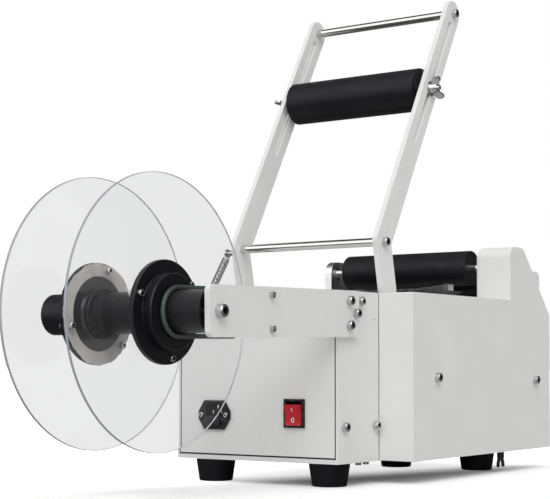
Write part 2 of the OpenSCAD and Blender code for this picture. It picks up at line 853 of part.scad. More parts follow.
// Outline of the inlet's flange: a rectangle drawn out to a point at each screw
module inlet_outline() {
    half_w = inlet_flange_w / 2;
    half_h = inlet_flange_h / 2;
    waist = inlet_body_w / 2 + 1;
    polygon(rounded(
        [[-waist, -half_h], [waist, -half_h], [half_w, -4], [half_w, 4],
         [waist, half_h], [-waist, half_h], [-half_w, 4], [-half_w, -4]],
        [2, 2, 3, 3, 2, 2, 3, 3]));
}

// Socket of the inlet: a rectangle with two cut corners
module socket_outline() {
    polygon([
        [-socket_w / 2, 0], [socket_w / 2, 0], [socket_w / 2, socket_h - 4],
        [socket_w / 2 - 4, socket_h], [-socket_w / 2 + 4, socket_h], [-socket_w / 2, socket_h - 4]]);
}

// Extrudes an outline drawn in Y and Z from x0 to x1
module along_x(x0, x1) {
    translate([x0, 0, 0]) rotate([90, 0, 90]) linear_extrude(x1 - x0) children();
}

module power_inlet() color(black) placed() translate([0, inlet_at, inlet_z]) {
    body_depth = 26;
    socket_z = -1;
    pin_len = 9;
    fuse_h = 7;
    difference() {
        union() {
            along_x(-inlet_flange_t, 0) inlet_outline();
            along_x(0, body_depth) square([inlet_body_w, inlet_body_h], center = true);
        }
        translate([0, 0, socket_z])
            along_x(-inlet_flange_t - over, socket_depth - inlet_flange_t) socket_outline();
        for (s = [-1, 1]) translate([-inlet_flange_t - over, s * inlet_screw_dy, 0]) rotate([0, 90, 0])
            cylinder(d = inlet_screw_d + small_hole_room, h = inlet_flange_t + 2 * over);
    }
    for (p = [[-7, 4], [7, 4], [0, 10]])
        block(
            [socket_depth - inlet_flange_t - pin_len, p[0] - 1, socket_z + p[1] - 2],
            [socket_depth - inlet_flange_t + 1, p[0] + 1, socket_z + p[1] + 2]);
    block(
        [-inlet_flange_t - 2, -socket_w / 2 + 2, socket_z - 4 - fuse_h],
        [-inlet_flange_t + 0.5, socket_w / 2 - 2, socket_z - 4]);
}

module inlet_screws() color(steel) placed() for (s = [-1, 1])
    translate([-inlet_flange_t, inlet_at + s * inlet_screw_dy, inlet_z]) rotate([0, -90, 0])
        socket_screw(inlet_screw_d, inlet_flange_t + sheet_t + 4, 5.6, 2);

rocker_w = switch_w - 6.6;
rocker_half_h = (switch_h - 8.5) / 2;
rocker_axis_x = 4;
rocker_rest = -10;
rocker_depth = 9;
rocker_valley = 8;
rocker_crest = 10.5;
rocker_edge = 7;
rocker_keel = 5;
rocker_pin_d = 3;

module switch_bezel() color(black) placed() translate([0, switch_y, switch_z]) {
    body_depth = 22;
    well_w = rocker_w + 2 * clear_gap;
    well_h = switch_h - 5.5;
    well_depth = rocker_axis_x + rocker_depth;
    difference() {
        union() {
            along_x(-bezel_t, 0) square([switch_w, switch_h], center = true);
            along_x(0, body_depth) square([switch_body_w, switch_body_h], center = true);
        }
        block([-bezel_t - over, -well_w / 2, -well_h / 2], [well_depth, well_w / 2, well_h / 2]);
    }
    bar_y(rocker_axis_x, 0, -well_w / 2 - join, well_w / 2 + join, rocker_pin_d);
}

// Rocker with two faces that meet in a shallow valley, tilted on its pin to its off place
module switch_rocker() color("red") placed() translate([rocker_axis_x, switch_y, switch_z])
    rotate([0, rocker_rest, 0]) difference() {
        along_y(-rocker_w / 2, rocker_w / 2) polygon([
            [-rocker_valley, 0], [-rocker_crest, -rocker_half_h], [-rocker_edge, -rocker_half_h],
            [rocker_keel, -rocker_keel], [rocker_keel, rocker_keel],
            [-rocker_edge, rocker_half_h], [-rocker_crest, rocker_half_h]]);
        bar_y(0, 0, -rocker_w / 2 - over, rocker_w / 2 + over, rocker_pin_d + 2 * run_gap);
    }

// Press frame

// Outline of an arm: two legs that meet at the elbow, with round ends
module arm_outline() {
    p = [pivot_x, pivot_z];
    e = [elbow_x, elbow_z];
    h = [handle_x, handle_z];
    lower = unit(e - p) * arm_w / 2;
    upper = unit(h - e) * arm_w / 2;
    a = left_of(lower);
    b = left_of(upper);
    mitre = (a + b) / (1 + a * b / (a * a));
    r = (arm_w - end_flat) / 2;
    polygon(rounded(
        [p - lower - a, e - mitre, h + upper - b, h + upper + b, e + mitre, p - lower + a],
        [r, elbow_r, r, r, elbow_r, r]));
}

// One arm from y0 to y1, with its hub, its slot and its bolt holes
module press_arm(y0, y1, hub_y0, hub_y1) {
    u = [sin(upper_lean), cos(upper_lean)];
    s0 = [elbow_x, elbow_z] + u * slot_start;
    s1 = s0 + u * slot_len;
    difference() {
        union() {
            along_y(y0, y1) arm_outline();
            bar_y(pivot_x, pivot_z, hub_y0, hub_y1, arm_hub_d);
        }
        bar_y(pivot_x, pivot_z, hub_y0 - over, hub_y1 + over, arm_pivot_d);
        along_y(y0 - over, y1 + over) strip(s0, s1, slot_w);
        bar_y(elbow_x, elbow_z, y0 - over, y1 + over, bolt_hole_d);
        bar_y(handle_x, handle_z, y0 - over, y1 + over, bolt_hole_d);
        children();
    }
}

module near_arm() color(white) placed()
    press_arm(near_arm_y, near_arm_in, near_in + clear_gap, near_arm_in + arm_hub_len);

module far_arm() color(white) placed()
    press_arm(far_arm_y, far_arm_out, far_arm_y - arm_hub_len, far_in - clear_gap)
        bar_y(spring_top[0], spring_top[1], far_arm_y + pin_seat, far_arm_out + over,
            spring_pin_d + 2 * run_gap);

// Bar between the arms, drilled at both ends for its bolts
module cross_bar(x, z) {
    depth = bar_bolt_len - arm_t + 1;
    difference() {
        bar_y(x, z, near_arm_in, far_arm_y, bar_d);
        bar_y(x, z, near_arm_in - over, near_arm_in + depth, screw_d + thread_room);
        bar_y(x, z, far_arm_y - depth, far_arm_y + over, screw_d + thread_room);
    }
}

module handle_bar() color(steel) placed() cross_bar(handle_x, handle_z);
module tie_bar() color(steel) placed() cross_bar(elbow_x, elbow_z);

module frame_bolts() color(steel) placed() for (p = [[elbow_x, elbow_z], [handle_x, handle_z]]) {
    near_screw(p[0], near_arm_y, p[1], bar_bolt_len);
    far_screw(p[0], far_arm_out, p[1], bar_bolt_len);
}

// Headed pin along Y that holds an end of the spring
module headed_pin(place, y0, y1) {
    bar_y(place[0], place[1], y0, y1, spring_pin_d);
    bar_y(place[0], place[1], y1 - pin_head_t, y1, spring_pin_d + pin_head_w);
}

module spring_pin() color(steel) placed() headed_pin(spring_top, far_arm_y + pin_seat, arm_pin_tip_y);

module pivot_shaft() color(steel) placed() bar_y(pivot_x, pivot_z, 0, body_w, pivot_d);

// Rubber blocks on the frame plates, against the lower legs at rest
module stop_buffers() color(black) placed() translate([pivot_x, 0, pivot_z]) rotate([0, lower_lean, 0])
    for (y = [[near_in, near_arm_in], [far_arm_y, far_in]])
        block(
            [-arm_w / 2 - clear_gap - buffer_w, y[0], buffer_up],
            [-arm_w / 2 - clear_gap, y[1], buffer_up + buffer_len]);

module spring_anchor() color(steel) placed() headed_pin(spring_low, far_in, pin_tip_y);

// The spring's wire, as points [s, p, y]: s from the anchor to the pin, p square to it, y across
spring_span = norm(spring_top - spring_low);
coil_len = curls * coil_pitch;
lead_r = 2;
coil_s0 = (spring_span - coil_len) / 2 - lead_r;
hook_turn = 290;
rings_per_curl = 8;
lead_turn = lead_r / coil_r * 180 / PI;

function on_coil(s, turn) = [s, -coil_r * cos(turn), -coil_r * sin(turn)];

function hook_points() =
    [for (i = [0 : 14])
        let (a = 270 - hook_turn + hook_turn * i / 14)
        [coil_r * cos(a), coil_r * sin(a), 0]];

// Lead from the hook that bends through a quarter turn onto the coil
function lead_points() =
    [for (i = [0 : 3])
        let (a = 22.5 * i)
        on_coil(coil_s0 + lead_r * sin(a), lead_turn * (1 - cos(a)))];

function coil_points() =
    let (
        turn_all = 360 * curls - 2 * lead_turn,
        steps = curls * rings_per_curl
    )
    [for (i = [0 : steps])
        on_coil(coil_s0 + lead_r + coil_len * i / steps, lead_turn + turn_all * i / steps)];

function far_end(points) =
    [for (i = [len(points) - 1 : -1 : 0]) [spring_span - points[i][0], points[i][1], -points[i][2]]];

function hook_tip(points) = points[0] - unit(points[1] - points[0]) * wire_d;

spring_start = concat([hook_tip(hook_points())], hook_points(), lead_points());
spring_path = concat(spring_start, coil_points(), far_end(spring_start));

// Body coordinates of a wire point
spring_dir = unit(spring_top - spring_low);
spring_side = left_of(spring_dir);

function wire_point(q) =
    let (p = spring_low + spring_dir * q[0] + spring_side * q[1])
    [p[0], spring_y + q[2], p[1]];

wire_points = [for (q = spring_path) wire_point(q)];

// Least gap between stretches of wire that are half a curl or more apart
wire_gap = min([
    for (i = [0 : len(wire_points) - 6])
        for (j = [i + 5 : min(len(wire_points) - 1, i + 2 * rings_per_curl)])
            norm(wire_points[i] - wire_points[j])]) - wire_d;
echo(spring_wire_gap = wire_gap);

// Tube of the given sides swept along a list of points
function tangents(points) =
    let (n = len(points))
    [for (i = [0 : n - 1]) unit(points[min(n - 1, i + 1)] - points[max(0, i - 1)])];

function square_to(v, t) = unit(v - t * (v * t));

function carried_normals(t, first) =
    [for (i = 0, v = square_to(first, t[0]); i < len(t);
        i = i + 1, v = square_to(v, t[min(i, len(t) - 1)])) v];

module swept_tube(points, d, sides, first) {
    n = len(points);
    t = tangents(points);
    v = carried_normals(t, first);
    ring_points = [
        for (i = [0 : n - 1])
            for (k = [0 : sides - 1])
                let (a = 360 * k / sides, w = cross(t[i], v[i]))
                points[i] + (v[i] * cos(a) + w * sin(a)) * d / 2];
    side_faces = [
        for (i = [0 : n - 2])
            for (k = [0 : sides - 1])
                let (
                    a = i * sides + k,
                    b = i * sides + (k + 1) % sides
                )
                for (f = [[a, a + sides, b], [b, a + sides, b + sides]]) f];
    start_cap = [for (k = [1 : sides - 2]) [0, k, k + 1]];
    last = (n - 1) * sides;
    end_cap = [for (k = [1 : sides - 2]) [last, last + k + 1, last + k]];
    polyhedron(points = ring_points, faces = concat(side_faces, start_cap, end_cap));
}

module return_spring() color(steel) placed() swept_tube(wire_points, wire_d, 6, [0, 1, 0]);

// Axle of the press roller: shoulders between the arms and a stud through each slot
module press_axle() color(steel) placed() {
    reach = 1 + wing_base_h + 3;
    bar_y(press_x, press_z, near_arm_in + slide_gap, far_arm_y - slide_gap, axle_d);
    bar_y(press_x, press_z, near_arm_in + slide_gap, near_arm_in + axle_shoulder_t, axle_shoulder_d);
    bar_y(press_x, press_z, far_arm_y - axle_shoulder_t, far_arm_y - slide_gap, axle_shoulder_d);
    bar_y(press_x, press_z, near_arm_y - reach, far_arm_out + reach, stud_d);
}

// Wing nut along +Z on its washer, with two raised wings
module wing_nut() {
    wing_t = 3;
    wing_reach = 14;
    wing_foot = 2;
    wing_tip_h = 8;
    wing_tip_w = 5;
    wing_tip_r = 2.5;
    washer_w = 5;
    washer_t = 1;
    taper = 3;
    bore = stud_d + thread_room;
    root = bore / 2 + 1;
    difference() {
        union() {
            cylinder(d = wing_base_d + washer_w, h = washer_t);
            translate([0, 0, washer_t])
                cylinder(d1 = wing_base_d, d2 = wing_base_d - taper, h = wing_base_h);
            for (s = [0, 180]) rotate([0, 0, s]) translate([0, wing_t / 2, 0]) rotate([90, 0, 0])
                linear_extrude(wing_t) polygon(rounded(
                    [[root, wing_foot], [wing_base_d / 2, wing_foot], [wing_reach, wing_rise - wing_tip_h],
                     [wing_reach, wing_rise], [wing_reach - wing_tip_w, wing_rise], [root, wing_base_h]],
                    [0, 0, wing_tip_r, wing_tip_r, wing_tip_r, 0]));
        }
        translate([0, 0, -over]) cylinder(d = bore, h = wing_rise + 2 * over);
    }
}

module wing_nuts() color(steel) placed() {
    near_turn = 118;
    far_turn = 20;
    translate([press_x, near_arm_y - slide_gap, press_z]) rotate([90, 0, 0])
        rotate([0, 0, near_turn]) wing_nut();
    translate([press_x, far_arm_out + slide_gap, press_z]) rotate([-90, 0, 0])
        rotate([0, 0, far_turn]) wing_nut();
}

// Hollow core with an end cap at each end that turns on the axle
module press_core() color(black) placed() {
    core_out = press_d - 2 * press_rubber_t;
    cap_t = 8;
    difference() {
        bar_y(press_x, press_z, press_y0, press_y1, core_out);
        bar_y(press_x, press_z, press_y0 + cap_t, press_y1 - cap_t, core_out - 6);
        bar_y(press_x, press_z, press_y0 - over, press_y1 + over, axle_d + 2 * run_gap);
    }
}

module press_roller() color(black) placed()
    ring_y(press_x, press_z, press_y0 + 1.5, press_y1 - 1.5, press_d, press_d - 2 * press_rubber_t);

// Bottle rollers and their drive

// Shaft through the near plate, thicker inside the rubber
module drive_shaft() color(steel) placed() {
    bar_y(drive_at, drive_h, pulley_y - 2, bracket_y1 - 1, drive_shaft_d);
    bar_y(drive_at, drive_h, roller_y0 + roller_end_t, roller_y1 - roller_end_t, core_d);
}

// Rubber moulded round the shaft's core and over its ends
module drive_roller() color(black) placed() difference() {
    ring_y(drive_at, drive_h, roller_y0, roller_y1, drive_d, drive_shaft_d);
    bar_y(drive_at, drive_h, roller_y0 + roller_end_t, roller_y1 - roller_end_t, core_d);
}

module roller_bearings() color(steel) placed() {
    bore = drive_shaft_d + 2 * run_gap;
    for (y = [near_in / 2 - bearing_len / 2, bracket_y])
        ring_y(drive_at, drive_h, y, y + (y < near_in ? bearing_len : bracket_t), bearing_d, bore);
}

// Plate on the far frame plate that carries the far ends of both rollers
module roller_bracket() color([0.85, 0.85, 0.86]) placed() {
    foot_z = body_h - bracket_foot;
    low_top = idler_h + bracket_low_up;
    points = [
        [bracket_x0, foot_z], [bracket_x1, foot_z], [bracket_x1, low_top],
        [drive_at + bracket_peak, bracket_top], [bracket_x0, bracket_top]];
    difference() {
        along_y(bracket_y, bracket_y1)
            polygon(rounded(points, [0, 0, bracket_low_r, bracket_peak_r, bracket_corner_r]));
        bar_y(drive_at, drive_h, bracket_y - over, bracket_y1 + over, bearing_d + 2 * run_gap);
        bar_y(idler_at, idler_h, bracket_y - over, bracket_y1 + over, idler_axle_d + 2 * run_gap);
        holes_y(bracket_screws, screw_d + thread_room, bracket_y - over, bracket_screw_tip);
    }
}

module idler_axle() color(steel) placed() {
    bar_y(idler_at, idler_h, 0, bracket_y1, idler_axle_d);
}

module idler_roller() color(black) placed()
    ring_y(idler_at, idler_h, roller_y0, roller_y1, idler_d, idler_axle_d + 2 * run_gap);

// Toothed pulley with a rim on each side; the teeth are left smooth under the belt
module pulley(x, z, pitch_d, bore) {
    rim_d = pitch_d + 2 * pulley_rim;
    difference() {
        union() {
            bar_y(x, z, pulley_y, pulley_y1, pitch_d - belt_t);
            bar_y(x, z, pulley_y, pulley_y + pulley_rim_t, rim_d);
            bar_y(x, z, pulley_y1 - pulley_rim_t, pulley_y1, rim_d);
        }
        bar_y(x, z, pulley_y - over, pulley_y1 + over, bore);
    }
}

module drive_pulley() color(steel) placed() pulley(drive_at, drive_h, drive_pulley_d, drive_shaft_d);

// Pulley with the motor's shaft, which runs in the motor
module motor_pulley() color(steel) placed() {
    pulley(motor_at, motor_z, motor_pulley_d, motor_shaft_d - join);
    bar_y(motor_at, motor_z, pulley_y, near_in + motor_bore_len, motor_shaft_d);
}

// Loop round the three pulleys, grown by an amount over their pitch radii
module belt_loop(grow) {
    hull() {
        translate([drive_at, drive_h]) circle(d = drive_pulley_d + grow, $fn = 48);
        translate([motor_at, motor_z]) circle(d = motor_pulley_d + grow, $fn = 48);
        translate([traction_at, traction_z]) circle(d = traction_pulley_d + grow, $fn = 48);
    }
}

module drive_belt() color(black) placed() along_y(belt_y0, belt_y0 + belt_w) difference() {
    belt_loop(belt_t + 2 * clear_gap);
    belt_loop(-belt_t + 2 * clear_gap);
}

// Square motor on the near plate, bored for its shaft
module drive_motor() color(black) placed() {
    corner = motor_w / 2;
    difference() {
        along_y(near_in, near_in + motor_len) translate([motor_at, motor_z]) polygon(rounded(
            [[-corner, -corner], [corner, -corner], [corner, corner], [-corner, corner]], [5, 5, 5, 5]));
        bar_y(motor_at, motor_z, near_in - over, near_in + motor_bore_len + over,
            motor_shaft_d + 2 * run_gap);
    }
}

module traction_roller() color(black) placed() {
    bar_y(traction_at, traction_z, pulley_y - 2, body_w - 0.5, traction_shaft_d);
    bar_y(traction_at, traction_z, roller_y0, far_arm_y - 12, traction_d);
    pulley(traction_at, traction_z, traction_pulley_d, traction_shaft_d - join);
}

module pinch_roller() color(black) placed() {
    bar_y(pinch_x, pinch_z, 0.5, body_w - 0.5, traction_shaft_d);
    bar_y(pinch_x, pinch_z, roller_y0, far_arm_y - 12, pinch_d);
}

// Label table and guides

// Black plate with a sharp peeling edge, on two side posts
module peel_plate() color(black) placed() {
    y0 = near_arm_in + peel_side;
    y1 = far_arm_y - peel_side;
    along_y(y0, y1) polygon([
        [peel_x0, peel_z], [peel_x1 - peel_edge, peel_z], [peel_x1, peel_z + peel_t / 2],
        [peel_x1, peel_z + peel_t], [peel_x0, peel_z + peel_t]]);
    for (y = [y0, y1 - peel_post_w])
        block(
            [peel_x0 + peel_post_in, y, body_h],
            [peel_x1 - peel_post_short, y + peel_post_w, peel_z + join]);
}

// Clear wedge on the label table that guides the label's edge
module label_guide() color(clear) placed() {
    guide_len = 76;
    guide_w = 16;
    guide_h = 8.3;
    guide_flat = 16;
    guide_tip = 1;
    guide_in = 2;
    guide_back = 6;
    y0 = near_arm_in + peel_side + guide_in;
    translate([peel_x0 + guide_back, 0, peel_z + peel_t]) along_y(y0, y0 + guide_w) polygon([
        [0, 0], [guide_len, 0], [guide_len, guide_h], [guide_len - guide_flat, guide_h], [0, guide_tip]]);
}

// Electrics

supply_x = 58;
supply_y = 60;
supply_size = [110, 78, 36];

module power_supply() color(steel) placed() translate([supply_x, supply_y, tray_top]) cube(supply_size);

// Circuit board on four spacers
module control_board() color("darkgreen") placed() {
    x0 = 180;
    y0 = 100;
    board_w = 70;
    board_l = 90;
    board_t = 1.6;
    spacer = 8;
    spacer_d = 6;
    spacer_in = 5;
    sink = 30;
    translate([x0, y0, tray_top]) {
        translate([0, 0, spacer]) cube([board_w, board_l, board_t]);
        for (x = [spacer_in, board_w - spacer_in]) for (y = [spacer_in, board_l - spacer_in])
            translate([x, y, 0]) cylinder(d = spacer_d, h = spacer + join);
        translate([(board_w - sink) / 2, (board_l - sink) / 2, spacer]) cube([sink, sink, sink / 2]);
    }
}

keypad_x = body_len - 194;
keypad_z = 70;
keypad_w = 120;
keypad_h = 70;
keypad_t = 2.5;

// Flat key panel on the operator's side
module control_panel() color(black) placed() along_y(body_w, body_w + keypad_t)
    translate([keypad_x, keypad_z]) polygon(rounded(
        [[0, 0], [keypad_w, 0], [keypad_w, keypad_h], [0, keypad_h]], [4, 4, 4, 4]));

// Snap switch on the far plate that the arm closes as the frame comes down
module start_switch() color(black) placed() {
    ahead = 42;
    up = 4;
    switch_size = [28, far_in - far_arm_y, 16];
    translate([pivot_x + ahead, far_arm_y, pivot_z + up]) cube(switch_size);
}

tension_x = hump_at - 2;
tension_y = -cover_depth + 14;
tension_d = 5;

// Wing screw under the cover that sets the belt's tension
module tension_screw() color(black) placed() translate([tension_x, tension_y, 0]) {
    wing_t = 2.5;
    translate([0, 0, -9]) cylinder(d = tension_d, h = 24);
    translate([0, 0, -9]) cylinder(d = 9, h = 8.9);
    for (s = [0, 180]) rotate([0, 0, s]) translate([0, wing_t / 2, 0]) rotate([90, 0, 0])
        linear_extrude(wing_t) polygon(rounded(
            [[2, -5], [4, -5], [9, -14], [9, -20], [5, -20], [2, -9]], [0, 0, 2, 2, 2, 0]));
}

base_tray();
near_frame_plate();
far_frame_plate();
end_panel();
rear_panel();
deck_plate();
drive_cover();
stop_lug();
body_screws();
rubber_feet();
reel_arm();
reel_spindle();
brake_posts();
brake_belt();
reel_tube();
reel_bushes();
near_flange();
near_disc();
near_flange_screws();
far_flange();
far_disc();
far_paper_ring();
far_flange_screws();
power_inlet();
inlet_screws();
switch_bezel();
switch_rocker();
near_arm();
far_arm();
handle_bar();
tie_bar();
frame_bolts();
spring_pin();
pivot_shaft();
stop_buffers();
spring_anchor();
return_spring();
press_axle();
wing_nuts();
press_core();
press_roller();
drive_shaft();
drive_roller();
drive_pulley();
roller_bearings();
roller_bracket();
idler_axle();
idler_roller();
drive_motor();
motor_pulley();
drive_belt();
traction_roller();
pinch_roller();
peel_plate();
label_guide();
power_supply();
control_board();
control_panel();
start_switch();
tension_screw();
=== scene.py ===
"""Looks of a bench machine that labels round bottles.

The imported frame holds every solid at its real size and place. This file gives each solid its finish,
softens its edges, rebuilds the turned, wound and screwed pieces more finely, and sets light and camera.
Lengths are metres; MM turns millimetres into metres.
"""

import json
import logging
import math
from collections.abc import Callable, Iterable, Sequence
from dataclasses import dataclass
from enum import Enum

import bmesh
import bpy
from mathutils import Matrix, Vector


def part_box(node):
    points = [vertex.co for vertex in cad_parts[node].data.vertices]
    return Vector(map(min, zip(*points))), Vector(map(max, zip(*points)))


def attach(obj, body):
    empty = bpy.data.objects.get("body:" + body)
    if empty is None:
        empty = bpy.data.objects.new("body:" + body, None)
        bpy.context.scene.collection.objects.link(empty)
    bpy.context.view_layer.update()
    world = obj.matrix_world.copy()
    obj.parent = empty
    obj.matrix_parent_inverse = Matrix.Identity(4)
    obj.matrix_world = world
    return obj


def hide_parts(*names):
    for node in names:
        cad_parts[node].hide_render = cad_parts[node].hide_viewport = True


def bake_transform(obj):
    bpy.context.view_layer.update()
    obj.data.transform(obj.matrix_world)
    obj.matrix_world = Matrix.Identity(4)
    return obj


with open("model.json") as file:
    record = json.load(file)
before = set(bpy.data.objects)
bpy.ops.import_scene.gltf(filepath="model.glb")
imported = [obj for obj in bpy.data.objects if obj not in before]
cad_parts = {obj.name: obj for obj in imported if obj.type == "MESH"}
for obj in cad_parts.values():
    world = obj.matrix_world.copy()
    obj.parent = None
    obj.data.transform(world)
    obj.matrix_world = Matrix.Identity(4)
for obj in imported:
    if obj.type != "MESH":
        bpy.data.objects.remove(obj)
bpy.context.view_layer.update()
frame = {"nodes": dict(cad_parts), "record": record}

MM = 0.001
SHARP_ANGLE = math.radians(30)
FLAT_ANGLE = math.radians(0.4)
MERGE_DISTANCE = 0.002 * MM
REST_EDGE = 0.25 * MM
ACROSS = Vector((0.0, 1.0, 0.0))

Colour = tuple[float, float, float]
Profile = list[tuple[float, float]]
Edges = tuple[tuple[str, float, int], ...]
Mesh = bmesh.types.BMesh
Vert = bmesh.types.BMVert
Face = bmesh.types.BMFace
Second = tuple[str, Callable[[Face], bool]]
Tree = bpy.types.NodeTree
Socket = bpy.types.NodeSocket
Feed = Socket | float | tuple[float, ...]

log = logging.getLogger("labelling_machine")

BODY_OF = {node: body for body, nodes in frame["record"]["behaviour"]["bodies"].items() for node in nodes}
SLOT_OF = {part["node"]: part["material_slot"] for part in frame["record"]["subparts"]}


class Side(Enum):
    """Which way a reel side faces along Y."""

    NEAR = -1
    FAR = 1


class Mark(Enum):
    """Marks on the rocker: a bar for on, a ring for off."""

    BAR = "bar"
    RING = "ring"


class Graph:
    """Short-hand for adding and linking nodes in one node tree."""

    def __init__(self, tree: Tree) -> None:
        """Works on the given tree."""
        self.tree = tree

    def node(self, kind: str, inputs: dict | None = None, **settings) -> bpy.types.Node:
        """Adds one node.

        Args:
            kind: The node's type name.
            inputs: Values or output sockets for the node's inputs, by name or index. A list of
                sockets goes to an input that takes several.
            **settings: Properties of the node.

        Returns:
            The new node.
        """
        node = self.tree.nodes.new(kind)
        for name, value in settings.items():
            setattr(node, name, value)
        for name, value in (inputs or {}).items():
            for item in value if isinstance(value, list) else [value]:
                if isinstance(item, Socket):
                    self.tree.links.new(item, node.inputs[name])
                else:
                    node.inputs[name].default_value = item
        return node

    def add(self, kind: str, inputs: dict | None = None, output: str | int = 0, **settings) -> Socket:
        """Adds one node and returns one of its outputs, by name or index."""
        return self.node(kind, inputs, **settings).outputs[output]

    def math(self, operation: str, *values: Feed) -> Socket:
        """Adds a Math node and returns its output."""
        return self.add("ShaderNodeMath", dict(enumerate(values)), operation=operation)

    def vector(self, operation: str, *values: Feed, output: str = "Vector") -> Socket:
        """Adds a Vector Math node and returns one of its outputs."""
        return self.add("ShaderNodeVectorMath", dict(enumerate(values)), output, operation=operation)

    def part(self, vector: Feed, axis: str) -> Socket:
        """Adds a Separate XYZ node and returns one of its outputs."""
        return self.add("ShaderNodeSeparateXYZ", {0: vector}, axis)

    def mix(self, factor: Feed, first: Feed, second: Feed) -> Socket:
        """Adds a colour mix and returns its output."""
        return self.add("ShaderNodeMix", {0: factor, 6: first, 7: second}, 2, data_type="RGBA")

    def noise(self, place: Feed, scale: Feed, detail: float) -> Socket:
        """Adds a noise texture and returns its value."""
        return self.add("ShaderNodeTexNoise", {"Vector": place, "Scale": scale, "Detail": detail})

    def spread(
            self, value: Feed, low: float, high: float, to: tuple[float, float] = (0.0, 1.0),
            **settings) -> Socket:
        """Adds a Map Range node from low and high to another range and returns its output."""
        return self.add("ShaderNodeMapRange", {
            "Value": value, "From Min": low, "From Max": high, "To Min": to[0], "To Max": to[1]}, **settings)

    def place(self, tree: Tree, **inputs: Feed) -> bpy.types.NodeOutputs:
        """Places a shared group with its own input values and returns its outputs."""
        return self.node("ShaderNodeGroup", inputs, node_tree=tree).outputs

    def by_ray(self, plain: Feed, mirrored: Feed, passed: Feed, seen: Feed) -> Socket:
        """Picks a shader by the kind of ray that meets it.

        Args:
            plain: Shader that lights the machine.
            mirrored: Shader in reflections.
            passed: Shader behind clear plastic.
            seen: Shader for the eye.

        Returns:
            The picked shader.
        """
        shader, rays = plain, self.node("ShaderNodeLightPath").outputs
        for ray, other in (
                ("Is Glossy Ray", mirrored), ("Is Transmission Ray", passed), ("Is Camera Ray", seen)):
            shader = self.add("ShaderNodeMixShader", {0: rays[ray], 1: shader, 2: other})
        return shader


def new_group(
        name: str, kind: str, inputs: dict[str, str],
        outputs: dict[str, str]) -> tuple[Graph, list[Socket]]:
    """Makes an empty node group with named sockets.

    Args:
        name: The group's name.
        kind: "ShaderNodeTree" or "GeometryNodeTree".
        inputs: Socket kind by input name, such as {"Scale": "Float"}.
        outputs: Socket kind by output name.

    Returns:
        The graph of the group and the sockets of its inputs.
    """
    tree = bpy.data.node_groups.new(name, kind)
    for in_out, sockets in (("INPUT", inputs), ("OUTPUT", outputs)):
        for label, socket in sockets.items():
            tree.interface.new_socket(label, in_out=in_out, socket_type=f"NodeSocket{socket}")
    graph = Graph(tree)
    return graph, list(graph.node("NodeGroupInput").outputs)[:len(inputs)]


# Finishes


class SurfaceEffects:
    """Node groups for grain, tone, turning marks, edge wear and dust, each built once."""

    def __init__(self) -> None:
        """Builds all the groups."""
        self._add_grain()
        self._add_tone()
        self._add_turning()
        self._add_wear()
        self._add_dust()

    @staticmethod
    def _start(name: str, outputs: dict[str, str], **inputs: str) -> tuple[Graph, list[Socket]]:
        """Makes an empty group with a place, a scale and further inputs."""
        return new_group(name, "ShaderNodeTree", {"Place": "Vector", "Scale": "Float", **inputs}, outputs)

    def _add_grain(self) -> None:
        """Fine pebbled grain with a slower variation for the gloss."""
        graph, (place, scale) = self._start("fine_grain", {"Height": "Float", "Value": "Float"})
        slow_scale = graph.math("MULTIPLY", scale, 0.06)
        graph.node("NodeGroupOutput", {
            "Height": graph.noise(place, scale, detail=2.0),
            "Value": graph.noise(place, slow_scale, detail=3.0)})
        self.grain = graph.tree

    def _add_tone(self) -> None:
        """Cloudy change between two near colours."""
        graph, (place, scale, light, deep) = self._start(
            "tone", {"Colour": "Color"}, Light="Color", Deep="Color")
        cloud = graph.spread(graph.noise(place, scale, detail=4.0), low=0.3, high=0.7)
        graph.node("NodeGroupOutput", {"Colour": graph.mix(cloud, deep, light)})
        self.tone = graph.tree

    def _add_turning(self) -> None:
        """Fine rings round a piece that was turned or ground about Y."""
        graph, (place, scale) = self._start("turning_marks", {"Height": "Float", "Value": "Float"})
        rings = graph.add(
            "ShaderNodeTexNoise", {"W": graph.part(place, "Y"), "Scale": scale, "Detail": 3.0},
            noise_dimensions="1D")
        value = graph.math("MULTIPLY", rings, graph.noise(place, scale=60.0, detail=2.0))
        graph.node("NodeGroupOutput", {"Height": rings, "Value": graph.math("MULTIPLY", value, 2.0)})
        self.turning = graph.tree

    def _add_wear(self) -> None:
        """Mask along convex edges, broken up by noise."""
        graph, (place, scale, amount) = self._start("edge_wear", {"Mask": "Float"}, Amount="Float")
        pointed = graph.add("ShaderNodeNewGeometry", output="Pointiness")
        edge = graph.spread(pointed, low=0.53, high=0.62)
        broken = graph.spread(graph.noise(place, scale, detail=3.0), low=0.45, high=0.65)
        mask = graph.math("MULTIPLY", edge, broken)
        graph.node("NodeGroupOutput", {"Mask": graph.math("MULTIPLY", mask, amount)})
        self.wear = graph.tree

    def _add_dust(self) -> None:
        """Mask on faces that look up, where dust settles."""
        graph, (place, scale, amount) = self._start("settled_dust", {"Mask": "Float"}, Amount="Float")
        up = graph.part(graph.add("ShaderNodeNewGeometry", output="Normal"), "Z")
        lies = graph.spread(up, low=0.4, high=1.0)
        mask = graph.math("MULTIPLY", lies, graph.noise(place, scale, detail=6.0))
        graph.node("NodeGroupOutput", {"Mask": graph.math("MULTIPLY", mask, amount)})
        self.dust = graph.tree


def rgba(colour: Colour) -> tuple[float, float, float, float]:
    """The colour with full alpha."""
    return (*colour, 1.0)


def grey(level: float) -> tuple[float, float, float, float]:
    """A grey with full alpha."""
    return rgba((level, level, level))


def blank_material(name: str, colour: Colour) -> tuple[bpy.types.Material, Graph]:
    """Makes a material with no nodes.

    Args:
        name: Its name.
        colour: Its plain colour.

    Returns:
        The material and the graph of its nodes.
    """
    material = bpy.data.materials.new(name)
    material.use_nodes = True
    material.diffuse_color = rgba(colour)
    material.node_tree.nodes.clear()
    return material, Graph(material.node_tree)


